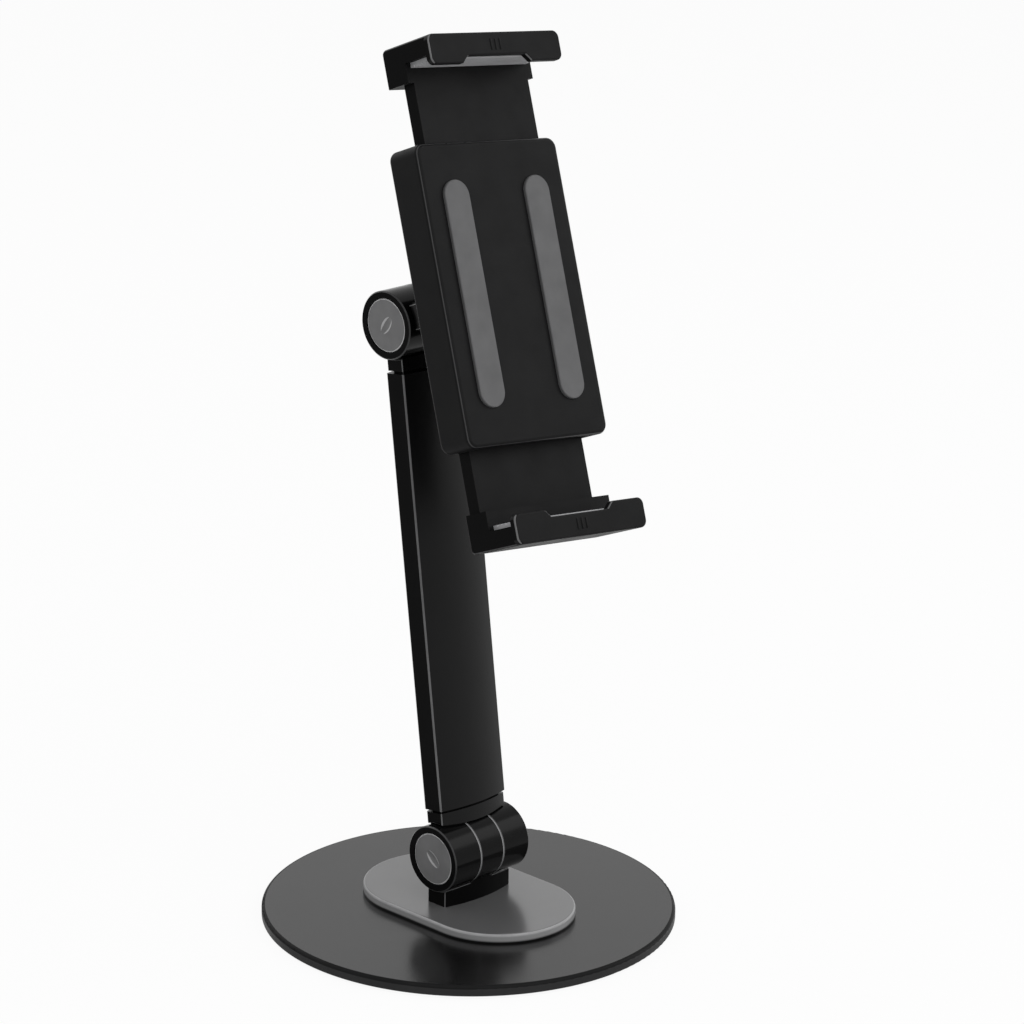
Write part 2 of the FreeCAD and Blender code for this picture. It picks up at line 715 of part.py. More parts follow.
def make_swivel_washer():
    start = swivel_bolt_seat()
    end = start + SWIVEL_WASHER_THICKNESS
    return tube(SWIVEL_BOLT_HEAD_RADIUS, SWIVEL_BOLT_RADIUS + THREAD_FIT, out(start), out(end))


def make_swivel_bolt():
    seat = swivel_bolt_seat() + SWIVEL_WASHER_THICKNESS
    head_end = seat + SWIVEL_BOLT_HEAD_HEIGHT
    head = rod(SWIVEL_BOLT_HEAD_RADIUS, out(seat), out(head_end))
    shank = rod(SWIVEL_BOLT_RADIUS, out(FLANGE_BACK + ASSEMBLY_GAP), out(seat + OVERLAP))
    socket = hexagon_bar(SWIVEL_BOLT_SOCKET_FLATS, out(head_end), out(head_end - TOOL_SOCKET_DEPTH))
    return joined([head, shank]).cut(socket)


def make_swivel_nut():
    end = nut_seat()
    start = end - SWIVEL_NUT_HEIGHT
    nut = hexagon_bar(SWIVEL_NUT_FLATS, out(start), out(end))
    return nut.cut(rod(SWIVEL_BOLT_RADIUS + THREAD_FIT, out(start), out(end)))


def housing_screw_places():
    places = []
    for u in (-HOUSING_SCREW_SPACING_U / 2, HOUSING_SCREW_SPACING_U / 2):
        for v in (-HOUSING_SCREW_SPACING_V / 2, HOUSING_SCREW_SPACING_V / 2):
            places.append((u, v))
    return places


def housing_screw_holes():
    """Stepped holes from the housing's back, deep enough to sink the screws' heads."""
    holes = []
    for u, v in housing_screw_places():
        seat = HOUSING_BACK + HOUSING_SCREW_SUNK
        head_room = rod(HOUSING_SCREW_HEAD_RADIUS + ASSEMBLY_GAP, out(HOUSING_BACK, u, v), out(seat, u, v))
        tip = PARTING + HOUSING_SCREW_GRIP
        shank_room = rod(HOUSING_SCREW_RADIUS + THREAD_FIT, out(seat, u, v), out(tip, u, v))
        holes.append(joined([head_room, shank_room]))
    return Part.makeCompound(holes)


def make_cover_fixing_screws():
    screws = []
    for u, v in housing_screw_places():
        seat = HOUSING_BACK + HOUSING_SCREW_SUNK
        face = seat - HOUSING_SCREW_HEAD_HEIGHT
        head = rod(HOUSING_SCREW_HEAD_RADIUS, out(face, u, v), out(seat, u, v))
        shank_end = out(PARTING + HOUSING_SCREW_GRIP, u, v)
        shank = rod(HOUSING_SCREW_RADIUS, out(seat - OVERLAP / 2, u, v), shank_end)
        socket_end = out(face + HOUSING_SCREW_SOCKET_DEPTH, u, v)
        socket = hexagon_bar(HOUSING_SCREW_SOCKET_FLATS, out(face, u, v), socket_end)
        screws.append(joined([head, shank]).cut(socket))
    return Part.makeCompound(screws)


def sleeve_room():
    """The tunnel through the housing that the two rack plates slide in."""
    half_length = HOUSING_LENGTH / 2 + OVERSHOOT
    low = Vector(-CAVITY_WIDTH / 2, -half_length, CAVITY_BACK)
    high = Vector(CAVITY_WIDTH / 2, half_length, CAVITY_FRONT)
    return box(low, high)


def make_clamp_back_shell():
    """The rear half of the housing, with the turned boss that rides on the swivel ring."""
    shell = rounded_bar(HOUSING_WIDTH, HOUSING_LENGTH, HOUSING_CORNER, HOUSING_BACK, PARTING)
    shell = shell.makeFillet(HOUSING_EDGE, edges_where(shell, lambda p: near(p.z, HOUSING_BACK)))
    boss = cone(BOSS_RADIUS, BOSS_FOOT_RADIUS, out(BOSS_BACK), out(HOUSING_BACK + OVERLAP))
    shell = joined([shell, boss]).cut(sleeve_room())
    anchor_end = LEG_BACK + LAYER_THICKNESS - ANCHOR_GAP
    anchor = spring_anchor(SPRING_OFFSET, SPRING_ANCHOR_V, CAVITY_BACK - OVERLAP, anchor_end)
    shell = joined([shell, anchor])
    plate_floor = out(CAVITY_BACK - PIN_PLATE_THICKNESS)
    plate_room = rod(PIN_PLATE_RADIUS + ASSEMBLY_GAP, plate_floor, out(CAVITY_BACK))
    bolt_room = rod(SWIVEL_POCKET_RADIUS, out(swivel_bolt_seat()), out(CAVITY_BACK))
    bore = rod(SWIVEL_BOLT_RADIUS + RUNNING_FIT, out(BOSS_BACK), out(CAVITY_BACK))
    return shell.cut(plate_room).cut(bolt_room).cut(bore).cut(housing_screw_holes())


def spring_anchor(u, v, start, end):
    return rod(SPRING_ANCHOR_RADIUS, out(start, u, v), out(end, u, v))


def device_pad(u, start, end, clearance):
    pad = stadium_bar(DEVICE_PAD_WIDTH + 2 * clearance, DEVICE_PAD_LENGTH + 2 * clearance, start, end)
    pad.translate(Vector(u, 0, 0))
    return pad


def device_pad_places():
    return [-DEVICE_PAD_SPACING / 2, DEVICE_PAD_SPACING / 2]


def make_clamp_front_cover():
    """The front half of the housing, with two shallow beds for the rubber pads."""
    cover = rounded_bar(HOUSING_WIDTH, HOUSING_LENGTH, HOUSING_CORNER, PARTING, HOUSING_FRONT)
    cover = cover.makeFillet(HOUSING_EDGE, edges_where(cover, lambda p: near(p.z, HOUSING_FRONT)))
    cover = cover.cut(sleeve_room())
    anchor_end = LEG_FRONT - LAYER_THICKNESS + ANCHOR_GAP
    anchor = spring_anchor(-SPRING_OFFSET, -SPRING_ANCHOR_V, anchor_end, CAVITY_FRONT + OVERLAP)
    pin_boss = rod(PIN_BOSS_RADIUS, out(pinion_front() + ASSEMBLY_GAP), out(CAVITY_FRONT + OVERLAP / 2))
    cover = joined([cover, anchor, pin_boss])
    cover = cover.cut(rod(PINION_PIN_RADIUS + THREAD_FIT, out(CAVITY_BACK), out(pinion_pin_end())))
    for u in device_pad_places():
        bed_floor = HOUSING_FRONT - DEVICE_PAD_SUNK
        cover = cover.cut(device_pad(u, bed_floor, HOUSING_FRONT + OVERSHOOT, ASSEMBLY_GAP))
    return cover.cut(housing_screw_holes())


def make_device_pads():
    pads = []
    for u in device_pad_places():
        pad = device_pad(u, PAD_FACE - DEVICE_PAD_THICKNESS, PAD_FACE, 0)
        pads.append(pad.makeFillet(DEVICE_PAD_ROUND, edges_where(pad, lambda p: near(p.z, PAD_FACE))))
    return Part.makeCompound(pads)


# Rack and pinion

def pinion_back():
    return (LEG_BACK + LEG_FRONT - PINION_WIDTH) / 2


def pinion_front():
    return pinion_back() + PINION_WIDTH


def pinion_pin_end():
    return CAVITY_FRONT + HOUSING_SKIN / 2


def pinion_half_angle(radius):
    """Half of a tooth's angle at a radius, on an involute of the pressure angle."""
    base = PITCH_RADIUS * math.cos(math.radians(PRESSURE_ANGLE))
    at_pitch = (PITCH / 2 - TOOTH_BACKLASH) / 2 / PITCH_RADIUS
    pressure = math.acos(min(1.0, base / radius))
    nominal = math.radians(PRESSURE_ANGLE)
    return at_pitch + (math.tan(nominal) - nominal) - (math.tan(pressure) - pressure)


def polar(radius, angle):
    return Vector(radius * math.cos(angle), radius * math.sin(angle), 0)


def make_pinion():
    """A twelve-tooth pinion with a gap facing each rack when the clamp is at rest."""
    base = PITCH_RADIUS * math.cos(math.radians(PRESSURE_ANGLE))
    middle = (base + PINION_TIP_RADIUS) / 2
    step = 2 * math.pi / PINION_TEETH
    outline = []
    for tooth in range(PINION_TEETH):
        centre = (tooth + 0.5) * step
        at_base = pinion_half_angle(base)
        at_middle = pinion_half_angle(middle)
        at_tip = pinion_half_angle(PINION_TIP_RADIUS)
        rise = [polar(PINION_ROOT_RADIUS, centre - at_base), polar(base, centre - at_base)]
        fall = [polar(base, centre + at_base), polar(PINION_ROOT_RADIUS, centre + at_base)]
        tip_start = polar(PINION_TIP_RADIUS, centre - at_tip)
        tip_end = polar(PINION_TIP_RADIUS, centre + at_tip)
        next_root = polar(PINION_ROOT_RADIUS, centre + step - at_base)
        outline.append(Part.LineSegment(rise[0], rise[1]))
        outline.append(Part.Arc(rise[1], polar(middle, centre - at_middle), tip_start))
        outline.append(Part.LineSegment(tip_start, tip_end))
        outline.append(Part.Arc(tip_end, polar(middle, centre + at_middle), fall[0]))
        outline.append(Part.LineSegment(fall[0], fall[1]))
        outline.append(Part.LineSegment(fall[1], next_root))
    face = Part.Face(Part.Wire([piece.toShape() for piece in outline]))
    gear = face.extrude(Vector(0, 0, PINION_WIDTH))
    gear.translate(out(pinion_back()))
    bore = rod(PINION_PIN_RADIUS + RUNNING_FIT, out(CAVITY_BACK), out(CAVITY_FRONT))
    return gear.cut(bore)


def make_pinion_pin():
    return rod(PINION_PIN_RADIUS, out(CAVITY_BACK - PIN_PLATE_THICKNESS), out(pinion_pin_end()))


def make_pin_plate():
    """The disc that closes the swivel bolt's pocket and holds the back end of the pinion's pin."""
    start = out(CAVITY_BACK - PIN_PLATE_THICKNESS)
    return tube(PIN_PLATE_RADIUS, PINION_PIN_RADIUS + THREAD_FIT, start, out(CAVITY_BACK))


def rack_comb(start, end):
    """A strip of rack teeth that face -X, with one tooth at the middle of the pinion at rest."""
    lean = math.tan(math.radians(PRESSURE_ANGLE))
    half_pitch_width = (PITCH / 2 - TOOTH_BACKLASH) / 2
    root = PITCH_RADIUS + RACK_DEDENDUM
    tip = PITCH_RADIUS - RACK_ADDENDUM
    root_half = half_pitch_width + RACK_DEDENDUM * lean
    tip_half = half_pitch_width - RACK_ADDENDUM * lean
    first = math.ceil(-(OPENING_TRAVEL + PITCH) / PITCH)
    last = math.floor((CLOSING_TRAVEL + PITCH) / PITCH)
    corners = [Vector(root + OVERLAP, RACK_END, start), Vector(root, RACK_END, start)]
    for tooth in range(first, last + 1):
        middle = tooth * PITCH
        corners.append(Vector(root, middle - root_half, start))
        corners.append(Vector(tip, middle - tip_half, start))
        corners.append(Vector(tip, middle + tip_half, start))
        corners.append(Vector(root, middle + root_half, start))
    corners.append(Vector(root, RACK_SLOT_END, start))
    corners.append(Vector(root + OVERLAP, RACK_SLOT_END, start))
    corners.append(corners[0])
    return Part.Face(Part.makePolygon(corners)).extrude(Vector(0, 0, end - start))


def rack_plate(start, end):
    """The flat plate with a slot for the pinion, rack teeth on one side of it, and a slot for the spring."""
    half_width = RACK_PLATE_WIDTH / 2
    plate = box(Vector(-half_width, RACK_END, start), Vector(half_width, BLOCK_INNER + OVERLAP, end))
    tips = edges_where(plate, lambda p: near(abs(p.x), half_width) and near(p.y, RACK_END))
    plate = plate.makeFillet(RACK_TIP_ROUND, tips)
    root = PITCH_RADIUS + RACK_DEDENDUM
    mouth = RACK_END - OVERSHOOT
    pinion_slot = box(Vector(-RACK_SLOT_FREE_SIDE, mouth, start), Vector(root, RACK_SLOT_END, end))
    slot_end = SPRING_PIN_V + SPRING_SLOT_WIDTH / 2
    left = -SPRING_OFFSET - SPRING_SLOT_WIDTH / 2
    right = -SPRING_OFFSET + SPRING_SLOT_WIDTH / 2
    spring_slot = box(Vector(left, mouth, start), Vector(right, slot_end, end))
    plate = plate.cut(pinion_slot).cut(spring_slot)
    return joined([plate, rack_comb(start, end)])


def spring_pin_ends(middle):
    """The ends of the cross pin in the rack plate, which the spring pulls on."""
    inner = -SPRING_OFFSET + SPRING_SLOT_WIDTH / 2 + SPRING_PIN_GRIP
    return Vector(-RACK_PLATE_WIDTH / 2, SPRING_PIN_V, middle), Vector(inner, SPRING_PIN_V, middle)


def make_spring_pin(middle):
    start, end = spring_pin_ends(middle)
    return rod(SPRING_PIN_RADIUS, start, end)


def lip_outline():
    """The lip seen from the front: a rounded plate with a shallow sloping cut-out at its tip."""
    outer = JAW_OUTER
    tip = JAW_OUTER - LIP_HEIGHT
    half = LIP_WIDTH / 2
    face = box(Vector(-half, tip, LIP_BACK), Vector(half, outer, LIP_FRONT))
    outer_corners = edges_where(face, lambda p: near(abs(p.x), half) and near(p.y, outer))
    face = face.makeFillet(LIP_OUTER_CORNER, outer_corners)
    tip_corners = edges_where(face, lambda p: near(abs(p.x), half) and near(p.y, tip))
    face = face.makeFillet(LIP_TIP_CORNER, tip_corners)
    floor = tip + LIP_NOTCH_DEPTH
    beyond = tip - OVERSHOOT
    corners = [
        Vector(-LIP_NOTCH_MOUTH / 2, beyond, LIP_BACK),
        Vector(-LIP_NOTCH_MOUTH / 2, tip, LIP_BACK),
        Vector(-LIP_NOTCH_WIDTH / 2, floor, LIP_BACK),
        Vector(LIP_NOTCH_WIDTH / 2, floor, LIP_BACK),
        Vector(LIP_NOTCH_MOUTH / 2, tip, LIP_BACK),
        Vector(LIP_NOTCH_MOUTH / 2, beyond, LIP_BACK),
        Vector(-LIP_NOTCH_MOUTH / 2, beyond, LIP_BACK),
    ]
    notch = Part.Face(Part.makePolygon(corners)).extrude(Vector(0, 0, LIP_THICKNESS))
    lip = face.cut(notch)
    bends = edges_where(lip, lambda p: near(abs(p.x), LIP_NOTCH_MOUTH / 2) and near(p.y, tip))
    bends += edges_where(lip, lambda p: near(abs(p.x), LIP_NOTCH_WIDTH / 2) and near(p.y, floor))
    lip = lip.makeFillet(LIP_NOTCH_ROUND, bends)
    return lip.makeFillet(LIP_EDGE, edges_where(lip, lambda p: near(p.z, LIP_FRONT)))


def outside_of(point, rim_start):
    """Whether a point lies on the hook's outer or back face, or on the bend between them."""
    beyond_y = point.y - rim_start.y
    beyond_z = rim_start.z - point.z
    on_bend = beyond_y > 0 and beyond_z > 0 and near(math.hypot(beyond_y, beyond_z), JAW_BACK_EDGE)
    return on_bend or near(point.y, JAW_OUTER) or near(point.z, LEG_BACK)


def make_jaw(start, end):
    """The upper jaw in the clamp's frame, with its rack plate between two distances from the hinge."""
    half = JAW_WIDTH / 2
    block = box(Vector(-half, BLOCK_INNER, LEG_BACK), Vector(half, JAW_OUTER, LEG_FRONT))
    shelf = box(Vector(-half, SHELF_INNER, LEG_BACK), Vector(half, JAW_OUTER, LIP_BACK + LIP_THICKNESS / 2))
    hook = joined([block, shelf])
    heel = edges_where(hook, lambda p: near(p.y, JAW_OUTER) and near(p.z, LEG_BACK))
    hook = hook.makeFillet(JAW_BACK_EDGE, heel)
    rim_start = Vector(0, JAW_OUTER - JAW_BACK_EDGE, LEG_BACK + JAW_BACK_EDGE)
    outside = edges_where(hook, lambda p: near(abs(p.x), half) and outside_of(p, rim_start))
    hook = hook.makeFillet(JAW_SIDE_EDGE, outside)
    jaw = joined([hook, lip_outline(), rack_plate(start, end)])
    pin_start, pin_end = spring_pin_ends((start + end) / 2)
    return jaw.cut(rod(SPRING_PIN_RADIUS + THREAD_FIT, pin_start, pin_end))


def make_lining():
    """The soft block on the shelf's inner face, with a few grooves along its length."""
    half = LINING_WIDTH / 2
    face = REST_OPENING / 2
    lining = box(Vector(-half, face, LEG_FRONT), Vector(half, SHELF_INNER, LIP_BACK))
    pitch = (LIP_BACK - LEG_FRONT) / (LINING_GROOVES + 1)
    for groove in range(LINING_GROOVES):
        middle = LEG_FRONT + (groove + 1) * pitch
        low = Vector(-half, face, middle - LINING_GROOVE_WIDTH / 2)
        high = Vector(half, face + LINING_GROOVE_DEPTH, middle + LINING_GROOVE_WIDTH / 2)
        lining = lining.cut(box(low, high))
    return lining


def make_spring(middle):
    """An extension spring as a plain close-wound body with an eye at each end, from its anchor to its pin."""
    start = Vector(-SPRING_OFFSET, -SPRING_ANCHOR_V, middle)
    end = Vector(-SPRING_OFFSET, SPRING_PIN_V, middle)
    wire = 2 * SPRING_WIRE_RADIUS
    anchor_eye = SPRING_ANCHOR_RADIUS + ASSEMBLY_GAP
    pin_eye = SPRING_PIN_RADIUS + ASSEMBLY_GAP
    body_start = start + Vector(0, anchor_eye + wire + SPRING_RADIUS, 0)
    body_end = end - Vector(0, pin_eye + wire + SPRING_RADIUS, 0)
    body = tube(SPRING_RADIUS, SPRING_RADIUS - wire, body_start, body_end)
    half_wire_up = Vector(0, 0, SPRING_WIRE_RADIUS)
    half_wire_across = Vector(SPRING_WIRE_RADIUS, 0, 0)
    anchor_ring = tube(anchor_eye + wire, anchor_eye, start - half_wire_up, start + half_wire_up)
    pin_ring = tube(pin_eye + wire, pin_eye, end - half_wire_across, end + half_wire_across)
    wall = Vector(SPRING_RADIUS - SPRING_WIRE_RADIUS, 0, 0)
    stems = [
        rod(SPRING_WIRE_RADIUS, start + Vector(0, anchor_eye + SPRING_WIRE_RADIUS, 0), body_start + wall),
        rod(SPRING_WIRE_RADIUS, end - Vector(0, pin_eye + SPRING_WIRE_RADIUS, 0), body_end + wall),
    ]
    return joined([body, anchor_ring, pin_ring] + stems)


# Assembly

def turned_over(shape):
    """The same piece for the lower jaw: half a turn about the clamp's normal."""
    copy = shape.copy()
    copy.rotate(ORIGIN, Z_AXIS, 180)
    return copy


def arm_placement():
    return Placement(Vector(0, 0, LOWER_AXIS_Z), Rotation(X_AXIS, -ARM_LEAN))


def head_placement():
    upper_axis = arm_placement().multVec(Vector(0, 0, ARM_LENGTH))
    return Placement(upper_axis, Rotation(X_AXIS, 90 - HEAD_TILT))


def clamp_placement():
    roll = Placement(ORIGIN, Rotation(Z_AXIS, -CLAMP_ROLL))
    return head_placement().multiply(roll)


def placed(shape, placement):
    copy = shape.copy()
    copy.Placement = placement.multiply(copy.Placement)
    return copy


def hinge_set(prefix):
    """What the arm carries at one hinge, in the hinge's frame."""
    return {
        prefix + "_fork": make_fork(),
        prefix + "_hinge_bolt": make_hinge_bolt(),
        prefix + "_hinge_nut": make_hinge_nut(),
        prefix + "_friction_washers": make_friction_washers(),
        prefix + "_spring_washers": make_spring_washers(),
        prefix + "_left_cap": make_cap(-1),
        prefix + "_right_cap": make_cap(1),
    }


def make_nodes():
    """Every piece at its place, by node name."""
    nodes = {
        "base_plate": make_base_plate(),
        "anti_slip_mat": make_anti_slip_mat(),
        "base_cover": make_base_cover(),
        "knuckle_screws": make_knuckle_screws(),
        "cover_screws": make_cover_screws(),
    }
    knuckle = placed(make_centre_knuckle(), Placement(Vector(0, 0, LOWER_AXIS_Z), Rotation()))
    nodes["base_knuckle"] = knuckle.cut(base_screw_holes())

    arm = arm_placement()
    for name, shape in hinge_set("lower").items():
        nodes[name] = placed(shape, arm)
    upper = arm.multiply(upper_fork_placement())
    for name, shape in hinge_set("upper").items():
        nodes[name] = placed(shape, upper)
    nodes["arm_tube"] = placed(make_arm_tube(), arm)
    nodes["fork_screws"] = placed(make_fork_screws(), arm)

    head = head_placement()
    head_pieces = {
        "head_knuckle": make_head_knuckle(),
        "swivel_flange": make_swivel_flange(),
        "flange_screws": make_flange_screws(),
        "swivel_ring": make_swivel_ring(),
        "swivel_washer": make_swivel_washer(),
        "swivel_bolt": make_swivel_bolt(),
        "swivel_nut": make_swivel_nut(),
    }
    for name, shape in head_pieces.items():
        nodes[name] = placed(shape, head)

    front_layer = (LEG_FRONT - LAYER_THICKNESS, LEG_FRONT)
    back_layer = (LEG_BACK, LEG_BACK + LAYER_THICKNESS)
    front_middle = sum(front_layer) / 2
    back_middle = sum(back_layer) / 2
    clamp_pieces = {
        "clamp_back_shell": make_clamp_back_shell(),
        "clamp_front_cover": make_clamp_front_cover(),
        "cover_fixing_screws": make_cover_fixing_screws(),
        "device_pads": make_device_pads(),
        "pinion_pin": make_pinion_pin(),
        "pin_plate": make_pin_plate(),
        "pinion": make_pinion(),
        "upper_jaw": make_jaw(*front_layer),
        "upper_jaw_lining": make_lining(),
        "upper_spring_pin": make_spring_pin(front_middle),
        "upper_spring": make_spring(front_middle),
        "lower_jaw": turned_over(make_jaw(*back_layer)),
        "lower_jaw_lining": turned_over(make_lining()),
        "lower_spring_pin": turned_over(make_spring_pin(back_middle)),
        "lower_spring": turned_over(make_spring(back_middle)),
    }
    clamp = clamp_placement()
    for name, shape in clamp_pieces.items():
        nodes[name] = placed(shape, clamp)
    return nodes


def main():
    os.makedirs("parts", exist_ok=True)
    for name, shape in make_nodes().items():
        shape.exportStep("parts/" + name + ".step")
    upper_axis = head_placement().Base
    normal = clamp_placement().Rotation.multVec(Z_AXIS)
    jaw_up = clamp_placement().Rotation.multVec(Y_AXIS)
    print("upper hinge axis", upper_axis)
    print("clamp normal", normal)
    print("upper jaw direction", jaw_up)


main()
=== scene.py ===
"""Dresses the desktop arm holder: its finishes, grips, wound springs, light and camera."""

import json
import math
from collections import namedtuple

import bpy
from mathutils import Matrix, Vector


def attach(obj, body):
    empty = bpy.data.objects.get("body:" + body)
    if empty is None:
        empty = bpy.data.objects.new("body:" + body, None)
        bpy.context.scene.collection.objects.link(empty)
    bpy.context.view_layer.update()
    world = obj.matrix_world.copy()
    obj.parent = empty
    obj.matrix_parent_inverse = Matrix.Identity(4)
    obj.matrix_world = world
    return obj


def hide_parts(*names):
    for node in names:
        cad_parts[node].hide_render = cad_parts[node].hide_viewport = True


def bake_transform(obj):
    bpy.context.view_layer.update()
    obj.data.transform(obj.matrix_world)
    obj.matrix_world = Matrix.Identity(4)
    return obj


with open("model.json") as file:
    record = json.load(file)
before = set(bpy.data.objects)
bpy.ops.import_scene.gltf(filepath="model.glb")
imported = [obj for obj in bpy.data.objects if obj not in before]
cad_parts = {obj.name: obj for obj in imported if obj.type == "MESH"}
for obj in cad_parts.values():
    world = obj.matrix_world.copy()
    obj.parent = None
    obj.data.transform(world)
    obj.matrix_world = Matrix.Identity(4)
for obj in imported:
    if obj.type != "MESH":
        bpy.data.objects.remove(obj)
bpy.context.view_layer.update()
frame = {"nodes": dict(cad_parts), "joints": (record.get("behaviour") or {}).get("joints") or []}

bl_info = {
    "name": "Arm holder look",
    "version": (1, 0, 0),
    "blender": (4, 5, 0),
    "location": "View3D > Sidebar > Arm holder",
    "description": "Gives the desktop arm holder its finishes, moulded details, light and camera",
    "category": "Object",
}

MM = 0.001
JAWS = ("upper_jaw", "lower_jaw")

# Camera, fitted to the base's outline
CAMERA_PLACE = (-1.0180, -1.0266, 0.6199)
CAMERA_RIGHT = (0.7053, -0.7088, 0.0116)
CAMERA_UP = (0.2057, 0.2203, 0.9535)
CAMERA_BACK = (-0.6784, -0.6701, 0.3012)
CAMERA_LENS = 142.07
CAMERA_SENSOR = 36.0
CAMERA_REACH = 20.0

# Lamps: size, and place; all face one point at half the holder's height
LAMPS = {
    "key": ((2.8, 2.0), (-0.4, -1.6, 1.9)),
    "fill": ((1.0, 1.6), (1.6, -0.9, 0.9)),
    "rim": ((1.8, 1.0), (-0.5, 1.7, 1.3)),
}
LAMP_TARGET = (0, 0, 0.17)

# Share of the floor that is plain white; the rest takes the shadow
FLOOR_WHITE = 0.93
FLOOR_SIDES = 96

# Parts of a face's unit normal that tell flat faces from roundings
BASE_SIDE = 0.02
BASE_TOP = 0.9995
COVER_UNDERSIDE = -0.5
COVER_SIDE = 0.3
COVER_TOP = 0.9
ARM_FRONT = 0.42
ARM_SIDE = 0.94
DISH_FLOOR = 0.96
CAP_FACE = 0.985
BARREL_ROUND = 0.97
FOOT_SIDE = 0.2
FOOT_EDGE = (0.3, 0.95)
LIP_EDGE = (0.2, 0.97)
LIP_END = 0.35
JAW_END = 0.94
JAW_OUTWARD = 0.3
HOUSING_EDGE = (0.52, 0.76)

# Widths of the narrow bands in which such faces are looked for
BASE_EDGE_SHARE = 0.95
CAP_EDGE_WIDTH = 0.8 * MM
BARREL_END = 1.0 * MM
BARREL_GROOVE = 0.3 * MM
BARREL_SPARE = 0.05 * MM
BARREL_RIM_WIDTH = 0.6 * MM
BARREL_END_DEPTH = 0.1 * MM
FOOT_GAP = 0.38 * MM
LIP_DEPTH = 1.0 * MM
LIP_THICKNESS = 3.2 * MM
SHELL_BACK_DEPTH = 9.0 * MM

# Meshes of the grips and the springs
SMOOTH_ANGLE = math.radians(40)
GRIP_FROM_EDGE = 4.6 * MM
GRIP_BEVEL_SHARE = 0.3
GRIP_BEVEL_STEPS = 3
WIRE_SIDES = 8
TURN_STEPS = 16
EYE_STEPS = 28


# Joint axes and places read from the frame

def points(name):
    """The places of a node's vertices."""
    return [vertex.co for vertex in frame["nodes"][name].data.vertices]


def joint(name):
    for item in frame["joints"]:
        if item["name"] == name:
            return item
    raise RuntimeError("the frame has no joint named " + name)


def clamp_axes():
    """The clamp's place and its three directions: across, up along the jaws, and out in front."""
    origin = Vector(joint("head_hinge")["pos_m"])
    up = Vector(joint("upper_jaw_slide")["axis"]).normalized()
    normal = Vector(joint("head_swivel")["axis"]).normalized()
    return origin, up.cross(normal), up, normal


def clamp_matrix():
    origin, across, up, normal = clamp_axes()
    turn = Matrix((across, up, normal)).transposed().to_4x4()
    return Matrix.Translation(origin) @ turn


# Settings that a user would change

